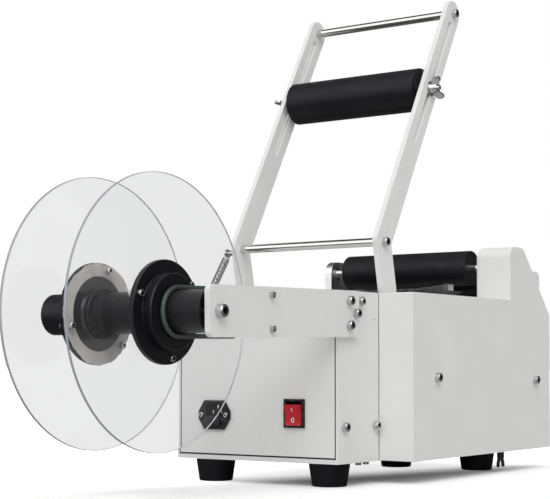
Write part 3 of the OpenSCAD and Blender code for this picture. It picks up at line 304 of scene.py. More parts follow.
@dataclass(frozen=True)
class Finish:
    """An opaque finish.

    Attributes:
        name: Name of the material.
        light: The lighter of its two tones.
        deep: The deeper of its two tones.
        roughness: Least and greatest roughness over the surface.
        metallic: 1 for bare metal.
        specular: Strength of the plain reflection.
        tone_scale: Fineness of the change of tone.
        grain_scale: Fineness of the grain, or of the rings on a turned piece.
        bump: Height of the grain.
        bump_strength: How much of that height shows.
        turned: True where the grain is rings about Y.
        coat: Weight of a clear coat.
        coat_roughness: Roughness of that coat.
        wear: Strength of the wear along edges.
        wear_scale: Fineness of the worn patches.
        worn: Colour of worn edges.
        dust: Strength of the dust on top faces.
        dust_scale: Fineness of the dust.
        dusty: Colour of the dust.
        inner: Painted light: a lighter colour for a face seen from behind, through clear plastic, standing
            for the light that passes through it.
    """

    name: str
    light: Colour
    deep: Colour
    roughness: tuple[float, float]
    metallic: float = 0.0
    specular: float = 0.5
    tone_scale: float = 14.0
    grain_scale: float = 900.0
    bump: float = 0.02 * MM
    bump_strength: float = 0.6
    turned: bool = False
    coat: float = 0.0
    coat_roughness: float = 0.12
    wear: float = 0.0
    wear_scale: float = 220.0
    worn: Colour = (0.6, 0.6, 0.6)
    dust: float = 0.0
    dust_scale: float = 90.0
    dusty: Colour = (0.42, 0.41, 0.39)
    inner: Colour | None = None

    def material(self, effects: SurfaceEffects) -> bpy.types.Material:
        """Builds the material from the shared effects.

        Args:
            effects: The shared node groups.

        Returns:
            The material.
        """
        material, graph = blank_material(self.name, self.light)
        place = graph.add("ShaderNodeTexCoord", output="Object")
        colour = graph.place(
            effects.tone, Place=place, Scale=self.tone_scale,
            Light=rgba(self.light), Deep=rgba(self.deep))["Colour"]
        for tree, amount, scale, tint in (
                (effects.wear, self.wear, self.wear_scale, self.worn),
                (effects.dust, self.dust, self.dust_scale, self.dusty)):
            if amount:
                mask = graph.place(tree, Place=place, Scale=scale, Amount=amount)["Mask"]
                colour = graph.mix(mask, colour, rgba(tint))
        # Painted light: a face seen from behind, through clear plastic, takes the lighter inner colour.
        if self.inner:
            behind = graph.add("ShaderNodeNewGeometry", output="Backfacing")
            colour = graph.mix(behind, colour, rgba(self.inner))
        marks = graph.place(
            effects.turning if self.turned else effects.grain, Place=place, Scale=self.grain_scale)
        bump = graph.add("ShaderNodeBump", {
            "Strength": self.bump_strength, "Distance": self.bump, "Height": marks["Height"]})
        shader = graph.add("ShaderNodeBsdfPrincipled", {
            "Base Color": colour, "Metallic": self.metallic, "Normal": bump,
            "Roughness": graph.spread(marks["Value"], low=0.3, high=0.7, to=self.roughness),
            "Specular IOR Level": self.specular, "Coat Weight": self.coat,
            "Coat Roughness": self.coat_roughness})
        graph.node("ShaderNodeOutputMaterial", {"Surface": shader})
        return material


@dataclass(frozen=True)
class ClearFinish:
    """Clear plastic that lets lamp light through.

    Attributes:
        name: Name of the material.
        tint: Colour that the plastic takes from light passing a face.
        deepen: The deeper of its two tones, as a share of the tint.
        tone_scale: Fineness of the change of tone.
        smear_scale: Fineness of the smears.
        roughness: Least and greatest roughness over the surface.
        shadow: How much of the lamps' light passes.
        index: Index of refraction.
        sheen: Tint of what the plastic mirrors.
    """

    name: str
    tint: Colour
    deepen: float = 0.985
    tone_scale: float = 9.0
    smear_scale: float = 160.0
    roughness: tuple[float, float] = (0.0, 0.03)
    shadow: float = 0.985
    index: float = 1.32
    sheen: float = 0.6

    def material(self, effects: SurfaceEffects) -> bpy.types.Material:
        """Builds the material from the shared effects.

        Args:
            effects: The shared node groups.

        Returns:
            The material.
        """
        material, graph = blank_material(self.name, self.tint)
        place = graph.add("ShaderNodeTexCoord", output="Object")
        deep = tuple(self.deepen * part for part in self.tint)
        colour = graph.place(
            effects.tone, Place=place, Scale=self.tone_scale, Light=rgba(self.tint), Deep=rgba(deep))
        smears = graph.place(effects.grain, Place=place, Scale=self.smear_scale)
        shader = graph.add("ShaderNodeBsdfPrincipled", {
            "Base Color": colour["Colour"], "IOR": self.index, "Specular Tint": grey(self.sheen),
            "Roughness": graph.spread(smears["Value"], low=0.4, high=0.7, to=self.roughness),
            "Transmission Weight": 1.0})
        lamp_light = graph.add("ShaderNodeBsdfTransparent", {"Color": grey(self.shadow)})
        from_lamp = graph.add("ShaderNodeLightPath", output="Is Shadow Ray")
        both = graph.add("ShaderNodeMixShader", {0: from_lamp, 1: shader, 2: lamp_light})
        graph.node("ShaderNodeOutputMaterial", {"Surface": both})
        return material


FINISHES: dict[str, Finish | ClearFinish] = {
    "white_paint": Finish(
        "white_powder_coat", (0.80, 0.80, 0.79), (0.77, 0.77, 0.762), (0.42, 0.55),
        specular=0.35, grain_scale=420.0, bump=0.24 * MM, wear=0.12, worn=(0.72, 0.71, 0.69), dust=0.05),
    "clear_acrylic": ClearFinish("clear_acrylic", (0.975, 0.977, 0.98)),
    "black_plastic": Finish(
        "satin_black_plastic", (0.008, 0.008, 0.010), (0.005, 0.005, 0.007), (0.34, 0.46),
        specular=0.28, grain_scale=1500.0, bump=0.03 * MM, wear=0.3, worn=(0.10, 0.10, 0.105), dust=0.06),
    "black_rubber": Finish(
        "black_rubber", (0.009, 0.009, 0.011), (0.005, 0.005, 0.007), (0.38, 0.52),
        specular=0.22, grain_scale=1100.0, bump=0.05 * MM, wear=0.15, worn=(0.07, 0.07, 0.07), dust=0.06),
    "green_belt": Finish(
        "green_round_belt", (0.060, 0.085, 0.070), (0.038, 0.056, 0.046), (0.45, 0.6),
        grain_scale=1400.0, bump=0.04 * MM),
    "stainless": Finish(
        "polished_steel", (0.66, 0.65, 0.64), (0.58, 0.57, 0.56), (0.06, 0.12), metallic=1.0,
        grain_scale=5200.0, bump=0.004 * MM, turned=True),
    "zinc_screws": Finish(
        "bright_zinc", (0.66, 0.66, 0.655), (0.50, 0.50, 0.51), (0.20, 0.36), metallic=1.0,
        tone_scale=160.0, grain_scale=2400.0, bump=0.02 * MM, wear=0.4, worn=(0.75, 0.75, 0.76)),
    "aluminium": Finish(
        "satin_aluminium", (0.78, 0.78, 0.785), (0.70, 0.70, 0.71), (0.30, 0.42), metallic=1.0,
        grain_scale=1800.0, bump=0.01 * MM, wear=0.3, worn=(0.9, 0.9, 0.9)),
    "red_rocker": Finish(
        "red_rocker", (0.62, 0.022, 0.035), (0.52, 0.014, 0.024), (0.16, 0.26),
        grain_scale=1200.0, bump=0.008 * MM, coat=0.4),
    "kraft_paper": Finish(
        "torn_paper", (0.66, 0.63, 0.605), (0.50, 0.47, 0.445), (0.75, 0.9),
        specular=0.2, tone_scale=70.0, grain_scale=1300.0, bump=0.12 * MM),
    "black_steel": Finish(
        "black_oxide", (0.020, 0.020, 0.023), (0.012, 0.012, 0.014), (0.30, 0.42), metallic=0.4,
        grain_scale=1600.0, bump=0.02 * MM, wear=0.5, worn=(0.22, 0.22, 0.23)),
    "circuit_board": Finish(
        "circuit_board", (0.03, 0.16, 0.07), (0.02, 0.11, 0.05), (0.28, 0.4), grain_scale=700.0),
    "spring_steel": Finish(
        "spring_wire", (0.52, 0.52, 0.53), (0.40, 0.40, 0.41), (0.20, 0.32), metallic=1.0,
        tone_scale=300.0, grain_scale=3000.0, bump=0.006 * MM),
    # Rim of a clear disc: its own edge colour in front, painted light on its inner side.
    "disc_rim": Finish(
        "acrylic_rim", (0.40, 0.40, 0.45), (0.32, 0.32, 0.36), (0.2, 0.3), inner=(0.75, 0.75, 0.78)),
    # Painted shade: a near-black finish for the inside of screw sockets and for dark strips in gaps, where
    # the shade falls.
    "recess": Finish("socket_recess", (0.012, 0.012, 0.012), (0.006, 0.006, 0.006), (0.5, 0.7)),
    "white_print": Finish("white_print", (0.82, 0.82, 0.80), (0.76, 0.76, 0.74), (0.4, 0.5)),
    "nickel": Finish(
        "nickel_pins", (0.80, 0.79, 0.76), (0.72, 0.71, 0.69), (0.2, 0.3), metallic=1.0),
    "display": Finish(
        "display_window", (0.02, 0.006, 0.008), (0.014, 0.004, 0.006), (0.05, 0.1), coat=0.6),
    "grey_key": Finish("grey_key", (0.30, 0.31, 0.33), (0.26, 0.27, 0.29), (0.4, 0.5)),
    "green_key": Finish("green_key", (0.04, 0.30, 0.10), (0.03, 0.25, 0.08), (0.4, 0.5)),
    "red_key": Finish("red_key", (0.45, 0.03, 0.03), (0.38, 0.02, 0.02), (0.4, 0.5)),
}


# Shapes


def middle_of(node: str) -> Vector:
    """The middle of a CAD node's box."""
    low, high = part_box(node)
    return (low + high) / 2


def radius_of(node: str) -> float:
    """The radius of a CAD node that is round about Y."""
    low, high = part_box(node)
    return (high.z - low.z) / 2


def merged(node: str) -> Mesh:
    """Copies a node's mesh, with its loose triangles joined into whole faces.

    Args:
        node: Name of the CAD node.

    Returns:
        The joined mesh.
    """
    mesh = bmesh.new()
    mesh.from_mesh(frame["nodes"][node].data)
    bmesh.ops.remove_doubles(mesh, verts=mesh.verts, dist=MERGE_DISTANCE)
    bmesh.ops.dissolve_limit(mesh, angle_limit=FLAT_ANGLE, verts=mesh.verts, edges=mesh.edges)
    return mesh


def loose_parts(mesh: Mesh) -> list[list[Vert]]:
    """Sorts a mesh into its separate solids.

    Args:
        mesh: A mesh of one or more solids.

    Returns:
        The vertices of each solid.
    """
    left, parts = set(mesh.verts), []
    while left:
        part, front = [], [left.pop()]
        while front:
            vert = front.pop()
            part.append(vert)
            for edge in vert.link_edges:
                other = edge.other_vert(vert)
                if other in left:
                    left.remove(other)
                    front.append(other)
        parts.append(part)
    return sorted(parts, key=lambda part: min(tuple(round(c, 6) for c in v.co) for v in part))


def box_of(part: list[Vert]) -> tuple[Vector, Vector]:
    """The low and high corners of the box round some vertices."""
    return tuple(Vector([pick(v.co[k] for v in part) for k in range(3)]) for pick in (min, max))


def rounded(points: Profile, radii: Sequence[float], steps: int = 5) -> Profile:
    """Rounds the corners of a closed profile.

    Args:
        points: Corners of the profile.
        radii: One radius for each corner; 0 leaves it sharp.
        steps: Straight pieces in each rounding.

    Returns:
        The points of the rounded profile.
    """
    out: Profile = []
    for index, radius in enumerate(radii):
        corner = Vector(points[index])
        if not radius:
            out.append(tuple(corner))
            continue
        before = (Vector(points[index - 1]) - corner).normalized()
        after = (Vector(points[(index + 1) % len(points)]) - corner).normalized()
        half = math.acos(max(-1.0, min(1.0, before.dot(after)))) / 2
        middle = corner + (before + after).normalized() * radius / math.sin(half)
        first, last = (corner + way * radius / math.tan(half) - middle for way in (before, after))
        sweep = first.angle_signed(last)
        for step in range(steps + 1):
            turn = -sweep * step / steps
            out.append((
                middle.x + first.x * math.cos(turn) - first.y * math.sin(turn),
                middle.y + first.x * math.sin(turn) + first.y * math.cos(turn)))
    return out


def sleeve(node: str, bore: float, edge: float, inner: float = 0.0, steps: int = 5) -> Profile:
    """Gives the profile of a round node with a bore.

    Args:
        node: Name of the CAD node.
        bore: Radius of the bore.
        edge: Rounding of the outer edges.
        inner: Rounding of the bore's edges.
        steps: Straight pieces in each rounding.

    Returns:
        Points as (y, radius).
    """
    (low, high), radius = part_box(node), radius_of(node)
    corners = [(low.y, bore), (low.y, radius), (high.y, radius), (high.y, bore)]
    return rounded(corners, [inner, edge, edge, inner], steps)


def turns(count: int) -> list[float]:
    """Angles of equal steps round a circle."""
    return [2 * math.pi * step / count for step in range(count)]


def arc(middle: tuple[float, float], radius: float, start: float, end: float, steps: int) -> Profile:
    """Points of an arc in X and Z, with angles in degrees from +X towards +Z."""
    angles = [math.radians(start + (end - start) * step / steps) for step in range(steps + 1)]
    return [(middle[0] + radius * math.cos(a), middle[1] + radius * math.sin(a)) for a in angles]


def bridge(mesh: Mesh, rings: Sequence[Sequence[Vert]], around: bool = True) -> Mesh:
    """Joins rings of vertices, each to the next, into a closed shape.

    Args:
        mesh: Mesh of the vertices.
        rings: Rings with the same number of vertices.
        around: True joins the last ring to the first; otherwise both are filled.

    Returns:
        The mesh, with its faces outwards.
    """
    pairs = list(zip(rings, rings[1:]))
    if around:
        pairs.append((rings[-1], rings[0]))
    else:
        mesh.faces.new(rings[0])
        mesh.faces.new(rings[-1])
    for here, there in pairs:
        for k in range(len(here)):
            mesh.faces.new((here[k - 1], here[k], there[k], there[k - 1]))
    bmesh.ops.recalc_face_normals(mesh, faces=mesh.faces)
    return mesh


def add_block(mesh: Mesh, low: Sequence[float], high: Sequence[float]) -> None:
    """Adds a block between two corners to a mesh."""
    for vert in bmesh.ops.create_cube(mesh, size=1.0)["verts"]:
        vert.co = Vector([start if side < 0 else end for side, start, end in zip(vert.co, low, high)])


@dataclass(frozen=True)
class Turned:
    """A body of revolution about a line along Y.

    Attributes:
        x: Place of the line along X.
        z: Height of the line.
    """

    x: float
    z: float

    @classmethod
    def about(cls, node: str) -> "Turned":
        """The line through the middle of a CAD node."""
        middle = middle_of(node)
        return cls(middle.x, middle.z)

    def point(self, turn: float, y: float, radius: float) -> tuple[float, float, float]:
        """The point at a turn, a place along the line and a distance from it."""
        return (self.x + radius * math.cos(turn), y, self.z + radius * math.sin(turn))

    def spin(self, profile: Profile, sides: int) -> Mesh:
        """Turns a closed profile about the line.

        Args:
            profile: Points as (y, radius), none of them on the line.
            sides: Number of sides round the line.

        Returns:
            The turned mesh, with its faces outwards.
        """
        mesh = bmesh.new()
        rings = [
            [mesh.verts.new(self.point(turn, y, radius)) for turn in turns(sides)] for y, radius in profile]
        return bridge(mesh, rings)


# Geometry Nodes trees


def sweep_tree() -> Tree:
    """Builds the tree that sweeps a round section along a path of edges.

    Returns:
        The tree.
    """
    graph, (path, radius, sides, finish) = new_group(
        "round_sweep", "GeometryNodeTree",
        {"Geometry": "Geometry", "Radius": "Float", "Sides": "Int", "Finish": "Material"},
        {"Geometry": "Geometry"})
    curve = graph.add("GeometryNodeMeshToCurve", {"Mesh": path})
    section = graph.add("GeometryNodeCurvePrimitiveCircle", {"Resolution": sides, "Radius": radius})
    tube = graph.add("GeometryNodeCurveToMesh", {
        "Curve": curve, "Profile Curve": section, "Fill Caps": True})
    real = graph.add("GeometryNodeRealizeInstances", {"Geometry": tube})
    done = graph.add("GeometryNodeSetMaterial", {"Geometry": real, "Material": finish})
    graph.node("NodeGroupOutput", {"Geometry": done})
    return graph.tree


def screw_tree() -> Tree:
    """Builds the tree that sets a knurled socket head, its shank and any nut on each point.

    Each point has the vector attributes axis, head, shank and nut. The last three hold radius, radius
    and length, and a nut of no length is left out.

    Returns:
        The tree.
    """
    graph, group_in = new_group(
        "socket_screws", "GeometryNodeTree",
        {"Geometry": "Geometry", "Sides": "Int", "Shank sides": "Int", "Nut sides": "Int",
         "Knurl": "Float", "Chamfer": "Float", "Socket radius": "Float", "Socket depth": "Float",
         "Socket sides": "Int", "Metal": "Material", "Recess": "Material"},
        {"Geometry": "Geometry"})
    points, sides, shank_sides, nut_sides, knurl, chamfer, *rest = group_in
    socket_r, socket_depth, socket_sides, metal, recess = rest
    position = graph.add("GeometryNodeInputPosition")

    def attribute(name: str) -> Socket:
        """Reads a vector attribute of the points."""
        return graph.add("GeometryNodeInputNamedAttribute", {"Name": name}, data_type="FLOAT_VECTOR")

    def moved(geometry: Socket, z: Feed) -> Socket:
        """Moves a shape up by z."""
        offset = graph.add("ShaderNodeCombineXYZ", {"Z": z})
        return graph.add("GeometryNodeTransform", {"Geometry": geometry, "Translation": offset})

    def cylinder(count: Feed, radius: Feed, depth: Feed) -> Socket:
        """A cylinder about the middle of its length."""
        sizes = {"Vertices": count, "Radius": radius, "Depth": depth}
        return graph.add("GeometryNodeMeshCylinder", sizes, fill_type="NGON")

    def compare(first: Feed, operation: str, second: Feed) -> Socket:
        """Compares two values."""
        return graph.add("FunctionNodeCompare", {0: first, 1: second}, data_type="FLOAT", operation=operation)

    def both(first: Socket, second: Socket) -> Socket:
        """True where two tests hold."""
        return graph.add("FunctionNodeBooleanMath", {0: first, 1: second}, operation="AND")

    def coated(geometry: Socket, finish: Socket, where: Socket | bool = True) -> Socket:
        """Gives a shape, or some of its faces, a finish."""
        inputs = {"Geometry": geometry, "Selection": where, "Material": finish}
        return graph.add("GeometryNodeSetMaterial", inputs)

    def shifted(geometry: Socket, offset: Socket, where: Socket | bool = True) -> Socket:
        """Moves the points of a shape, or some of them."""
        inputs = {"Geometry": geometry, "Selection": where, "Offset": offset}
        return graph.add("GeometryNodeSetPosition", inputs)

    body_height = graph.math("SUBTRACT", 1.0, chamfer)
    blank = moved(cylinder(sides, 1.0, body_height), graph.math("MULTIPLY", body_height, 0.5))
    odd = compare(graph.math("MODULO", graph.add("GeometryNodeInputIndex"), 2.0), "GREATER_THAN", 0.5)
    inwards = graph.math("MULTIPLY", knurl, -1.0)
    shrink = graph.add("ShaderNodeCombineXYZ", {"X": inwards, "Y": inwards})
    knurled = shifted(blank, graph.vector("MULTIPLY", position, shrink), odd)
    top = compare(graph.part(graph.add("GeometryNodeInputNormal"), "Z"), "GREATER_THAN", 0.5)
    raised = graph.node("GeometryNodeExtrudeMesh", {
        "Mesh": knurled, "Selection": top, "Offset Scale": chamfer}, mode="FACES").outputs
    drawn_in = graph.add("GeometryNodeScaleElements", {
        "Geometry": raised["Mesh"], "Selection": raised["Top"], "Scale": body_height})
    hole = moved(cylinder(socket_sides, socket_r, graph.math("MULTIPLY", socket_depth, 2.0)), 1.0)
    head = graph.add("GeometryNodeMeshBoolean", {
        "Mesh 1": drawn_in, "Mesh 2": hole}, operation="DIFFERENCE")
    # Painted shade: the walls and floor of each socket take the near-black finish, standing for the shade
    # inside the hole.
    flat = graph.vector("MULTIPLY", position, (1.0, 1.0, 0.0))
    within = compare(graph.vector("LENGTH", flat, output="Value"), "LESS_THAN", socket_r)
    height = graph.part(position, "Z")
    below_top, above_foot = 0.98, 0.1
    sunk = both(compare(height, "LESS_THAN", below_top), compare(height, "GREATER_THAN", above_foot))
    shaded = coated(coated(head, metal), recess, both(within, sunk))

    rod = coated(moved(cylinder(shank_sides, 1.0, 1.0), -0.5), metal)
    hexagon = coated(moved(cylinder(nut_sides, 1.0, 1.0), 0.5), metal)
    axis, shank, nut = (attribute(name) for name in ("axis", "shank", "nut"))
    turned = graph.add("FunctionNodeAlignRotationToVector", {"Vector": axis}, axis="Z")
    back = graph.math("MULTIPLY", graph.part(shank, "Z"), -1.0)
    tips = shifted(points, graph.add("ShaderNodeVectorMath", {0: axis, "Scale": back}, operation="SCALE"))
    has_nut = compare(graph.part(nut, "Z"), "GREATER_THAN", 0.0)
    everything = graph.add("GeometryNodeJoinGeometry", {"Geometry": [
        graph.add("GeometryNodeInstanceOnPoints", {
            "Points": places, "Selection": where, "Instance": shape, "Rotation": turned, "Scale": size})
        for places, where, shape, size in (
            (tips, has_nut, hexagon, nut), (points, True, rod, shank),
            (points, True, shaded, attribute("head")))]})
    real = graph.add("GeometryNodeRealizeInstances", {"Geometry": everything})
    graph.node("NodeGroupOutput", {"Geometry": real})
    return graph.tree


@dataclass(frozen=True)
class Screw:
    """One screw found in a CAD node.

    Attributes:
        seat: Middle of the underside of its head.
        axis: Direction from the shank out through the head.
        head: Radius, radius and height of the head.
        shank: Radius, radius and length of the shank.
        nut: Radius, radius and thickness of its nut, or zeros.
    """

    seat: Vector
    axis: Vector
    head: tuple[float, float, float]
    shank: tuple[float, float, float]
    nut: tuple[float, float, float]

    @classmethod
    def measured(cls, part: list[Vert]) -> "Screw":
        """Measures a socket screw, with or without a nut.

        Args:
            part: The vertices of its solid.

        Returns:
            The screw, with its place and sizes.
        """
        level_slack, rim_slack, round_points, shank_of_nut = 0.01 * MM, 0.02, 10, 0.5
        low, high = box_of(part)
        size, middle = high - low, (low + high) / 2
        spans = [abs(size[(k + 1) % 3] - size[(k + 2) % 3]) for k in range(3)]
        along = spans.index(min(spans))
        axis = Vector([float(k == along) for k in range(3)])

        def reach(vert: Vert) -> float:
            """Distance of a vertex from the screw's line."""
            offset = vert.co - middle
            return (offset - axis * offset[along]).length

        ends = []
        for sign, level in ((1, high[along]), (-1, low[along])):
            ring = [reach(v) for v in part if abs(v.co[along] - level) < level_slack]
            outer = max(ring)
            on_rim = sum(r > (1 - rim_slack) * outer for r in ring)
            ends.append((on_rim > round_points, outer, sign, level))
        (_, head_r, sign, top), (tip_round, tip_r, _, tip) = sorted(ends, reverse=True)

        def rim(radius: float, side: int) -> list[float]:
            """Levels of the outer points on one side of the middle."""
            rims = (v.co[along] for v in part if abs(reach(v) - radius) < rim_slack * radius)
            return [level for level in rims if (level - middle[along]) * side > 0]

        base = min(rim(head_r, sign), key=lambda level: level * sign)
        seat = middle.copy()
        seat[along] = base
        nut, shank_r = (0.0, 0.0, 0.0), tip_r
        if not tip_round:
            nut_rim = rim(tip_r, -sign)
            nut, shank_r = (tip_r, tip_r, max(nut_rim) - min(nut_rim)), tip_r * shank_of_nut
        shank = (shank_r, shank_r, abs(base - tip))
        return cls(seat, axis * sign, (head_r, head_r, abs(top - base)), shank, nut)


class Workshop:
    """Makes, finishes and fastens the pieces."""

    def __init__(self) -> None:
        """Builds the finishes and the trees once."""
        effects = SurfaceEffects()
        self.finishes = {name: finish.material(effects) for name, finish in FINISHES.items()}
        self.sweep_tree = sweep_tree()
        self.screw_tree = screw_tree()
        self.done: set[str] = set()

    def fasten(self, piece: bpy.types.Object, *nodes: str, body: str = "", slot: str = "") -> None:
        """Makes a piece ride on its body and stand for its nodes.

        Args:
            piece: The finished piece.
            *nodes: CAD nodes that it stands for.
            body: The body it rides on, by default that of its first node.
            slot: Not used; meant as its material slot, by default that of its first node.
        """
        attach(piece, body or BODY_OF[nodes[0]])
        if nodes:
            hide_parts(*nodes)
        self.note(piece, *nodes)

    def note(self, piece: bpy.types.Object, *nodes: str) -> None:
        """Reports a piece and remembers which nodes it stands for."""
        self.done.update(nodes)
        log.info("%s: %d faces", piece.name, len(piece.data.polygons))

    def piece(self, name: str, mesh: Mesh, *finishes: str) -> bpy.types.Object:
        """Makes an object with smooth shading from a mesh.

        Args:
            name: Name of the piece.
            mesh: Its shape, which is freed.
            *finishes: Names of its finishes, in the order of the faces' material numbers.

        Returns:
            The object, at the origin.
        """
        data = bpy.data.meshes.new(name)
        mesh.to_mesh(data)
        mesh.free()
        for finish in finishes:
            data.materials.append(self.finishes[finish])
        return self._smooth(name, data)

    @staticmethod
    def _smooth(name: str, data: bpy.types.Mesh) -> bpy.types.Object:
        """Shades a mesh smoothly, with sharp edges and flat faces kept.

        Args:
            name: Name of the piece.
            data: Its mesh, which is used up.

        Returns:
            The object, linked to the scene.
        """
        data.shade_smooth()
        data.set_sharp_from_angle(angle=SHARP_ANGLE)
        item = bpy.data.objects.new(name, data)
        bpy.context.scene.collection.objects.link(item)
        item.modifiers.new("flat_faces", "WEIGHTED_NORMAL").keep_sharp = True
        graph = bpy.context.evaluated_depsgraph_get()
        item.data = bpy.data.meshes.new_from_object(
            item.evaluated_get(graph), preserve_all_data_layers=True, depsgraph=graph)
        item.modifiers.clear()
        item.data.name = name
        bpy.data.meshes.remove(data)
        return item

    def _stand(self, name: str, node: str, mesh: Mesh, second: Second | None) -> None:
        """Stands a mesh for a CAD node.

        Args:
            name: Name of the piece.
            node: Name of the node.
            mesh: The piece's shape.
            second: A second finish and the test for its faces.
        """
        finishes = [SLOT_OF[node]]
        if second:
            finish, has_it = second
            finishes.append(finish)
            for face in mesh.faces:
                face.material_index = int(has_it(face))
        self.fasten(self.piece(name, mesh, *finishes), node)

    def trim(self, name: str, mesh: Mesh, finish: str, on: str, slot: str = "") -> None:
        """Makes a piece of trim that rides with a CAD node."""
        self.fasten(self.piece(name, mesh, finish), body=BODY_OF[on], slot=slot or SLOT_OF[on])

    def soften(
            self, node: str, edge: float, segments: int = 2, second: Second | None = None,
            shape: Callable[[Mesh], None] | None = None) -> None:
        """Stands a copy with rounded edges for a CAD node.

        Args:
            node: Name of the node.
            edge: Width of the rounding.
            segments: Straight pieces in the rounding.
            second: A second finish and the test for its faces.
            shape: Changes the mesh before its edges are rounded.
        """
        mesh = merged(node)
        if shape:
            shape(mesh)
        sharp = [e for e in mesh.edges if len(e.link_faces) == 2 and e.calc_face_angle(0.0) > SHARP_ANGLE]
        if sharp:
            bmesh.ops.bevel(
                mesh, geom=sharp, offset=edge, offset_type="OFFSET", segments=segments, profile=0.5,
                affect="EDGES", clamp_overlap=True)
        self._stand(f"{node}_shaped", node, mesh, second)

    def turn(self, node: str, profile: Profile, sides: int = 96, second: Second | None = None) -> None:
        """Stands a turned piece for a round CAD node.

        Args:
            node: Name of the node, whose middle line is used.
            profile: Closed profile as (y, radius).
            sides: Number of sides.
            second: A second finish and the test for its faces.
        """
        self._stand(f"{node}_turned", node, Turned.about(node).spin(profile, sides), second)

    def grow(self, name: str, data: bpy.types.Mesh, tree: Tree, values: dict) -> bpy.types.Object:
        """Runs a Geometry Nodes tree on a mesh and keeps its result as a plain mesh.

        Args:
            name: Name of the piece.
            data: Mesh that the tree starts from.
            tree: The tree.
            values: Values of the tree's inputs, by name.

        Returns:
            The object, with no modifier left.
        """
        item = bpy.data.objects.new(name, data)
        bpy.context.scene.collection.objects.link(item)
        modifier = item.modifiers.new("tree", "NODES")
        modifier.node_group = tree
        for socket in tree.interface.items_tree:
            if socket.in_out == "INPUT" and socket.name in values:
                modifier[socket.identifier] = values[socket.name]
        graph = bpy.context.evaluated_depsgraph_get()
        grown = bpy.data.meshes.new_from_object(item.evaluated_get(graph), depsgraph=graph)
        bpy.data.objects.remove(item)
        bpy.data.meshes.remove(data)
        return self._smooth(name, grown)

    def sweep(
            self, name: str, path: Iterable[Vector], radius: float, sides: int, finish: str,
            closed: bool = False) -> bpy.types.Object:
        """Sweeps a round section along a path.

        Args:
            name: Name of the piece.
            path: Points of its middle line.
            radius: Radius of the section.
            sides: Sides of the section.
            finish: Name of its finish.
            closed: True for an endless loop.

        Returns:
            The swept piece.
        """
        points = [tuple(point) for point in path]
        edges = [(k, k + 1) for k in range(len(points) - 1)]
        if closed:
            edges.append((len(points) - 1, 0))
        data = bpy.data.meshes.new(name)
        data.from_pydata(points, edges, [])
        return self.grow(name, data, self.sweep_tree, {
            "Radius": radius, "Sides": sides, "Finish": self.finishes[finish]})

    def screws(self, node: str, socket_sides: int = 6) -> None:
        """Stands knurled screws for a CAD node of screws.

        Args:
            node: Name of the node.
            socket_sides: Sides of the sockets.
        """
        mesh = merged(node)
        found = [Screw.measured(part) for part in loose_parts(mesh)]
        mesh.free()
        data = bpy.data.meshes.new(node)
        data.from_pydata([tuple(screw.seat) for screw in found], [], [])
        for name in ("axis", "head", "shank", "nut"):
            values = data.attributes.new(name, "FLOAT_VECTOR", "POINT").data
            for value, screw in zip(values, found):
                value.vector = getattr(screw, name)
        item = self.grow(f"{node}_socketed", data, self.screw_tree, {
            "Sides": 40, "Shank sides": 24, "Nut sides": 6, "Knurl": 0.035, "Chamfer": 0.12,
            "Socket radius": 0.6, "Socket depth": 0.55, "Socket sides": socket_sides,
            "Metal": self.finishes[SLOT_OF[node]], "Recess": self.finishes["recess"]})
        self.fasten(item, node)

    def dress_rest(self) -> None:
        """Gives every node that nothing stands for its finish and soft edges."""
        for node in sorted(set(frame["nodes"]) - self.done):
            self.soften(node, REST_EDGE)


# Sub-assemblies


@dataclass
class Assembly:
    """A sub-assembly with its plain pieces.

    Attributes:
        shop: Where the pieces are made.
        edges: Plain nodes with the rounding of their edges, in millimetres, and its segments.
    """

    shop: Workshop
    edges: Edges = ()

    def build(self) -> None:
        """Makes the plain pieces."""
        for node, edge, segments in self.edges:
            self.shop.soften(node, edge * MM, segments)


@dataclass
class Chassis(Assembly):
    """Body plates, covers and feet.

    Attributes:
        panel_gap: Gap round the end panel.
        shade_strip_rise: How far the dark strip of painted shade in that gap stands over the panel's face.
        shade_strip_lap: How far that strip of painted shade laps over the panel's sides and its lower edge.
        seam: Width and rise of the dark strip of painted shade along the seam where the cover meets the frame
            plate.
    """

    edges: Edges = (
        ("base_tray", 0.4, 2), ("near_frame_plate", 0.6, 2), ("far_frame_plate", 0.6, 2),
        ("end_panel", 0.5, 2), ("rear_panel", 0.5, 2), ("deck_plate", 0.4, 2), ("stop_lug", 0.6, 2),
        ("reel_arm", 0.8, 2), ("drive_cover", 0.95, 4), ("rubber_feet", 1.6, 4), ("stop_buffers", 0.8, 2))
    panel_gap: float = 1.0 * MM
    shade_strip_rise: float = 0.04 * MM
    shade_strip_lap: tuple[float, float] = (0.25 * MM, 0.8 * MM)
    seam: tuple[float, float] = (0.9 * MM, 0.12 * MM)

    def build(self) -> None:
        """Makes the plates, the cover, the feet, the screws and the dark strips of painted shade in the gaps.
        """
        super().build()
        self.shop.screws("body_screws")
        self._painted_shade_strips()

    def _painted_shade_strips(self) -> None:
        """Dark strips of painted shade in the gap round the end panel and along the seam at the cover's front
        edge.
        """
        low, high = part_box("end_panel")
        gap, (side_lap, sill_lap) = self.panel_gap, self.shade_strip_lap
        front, foot = low.x - self.shade_strip_rise, low.z - self.panel_gap
        near, far = low.y + side_lap, high.y - side_lap
        mesh = bmesh.new()
        add_block(mesh, (front, low.y - gap, foot), (high.x, near, high.z))
        add_block(mesh, (front, far, foot), (high.x, high.y + gap, high.z))
        add_block(mesh, (front, near, foot), (high.x, far, low.z + sill_lap))
        cover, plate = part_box("drive_cover")[0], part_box("near_frame_plate")[0]
        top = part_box("deck_plate")[1].z
        width, rise = self.seam
        add_block(
            mesh, (cover.x - width, plate.y - rise, plate.z + rise),
            (cover.x + rise, plate.y + rise, top - rise))
        # Painted shade: near-black strips stand in the gap round the end panel and along the cover's seam.
        self.shop.trim("dark_seals", mesh, "recess", "end_panel", SLOT_OF["rubber_feet"])


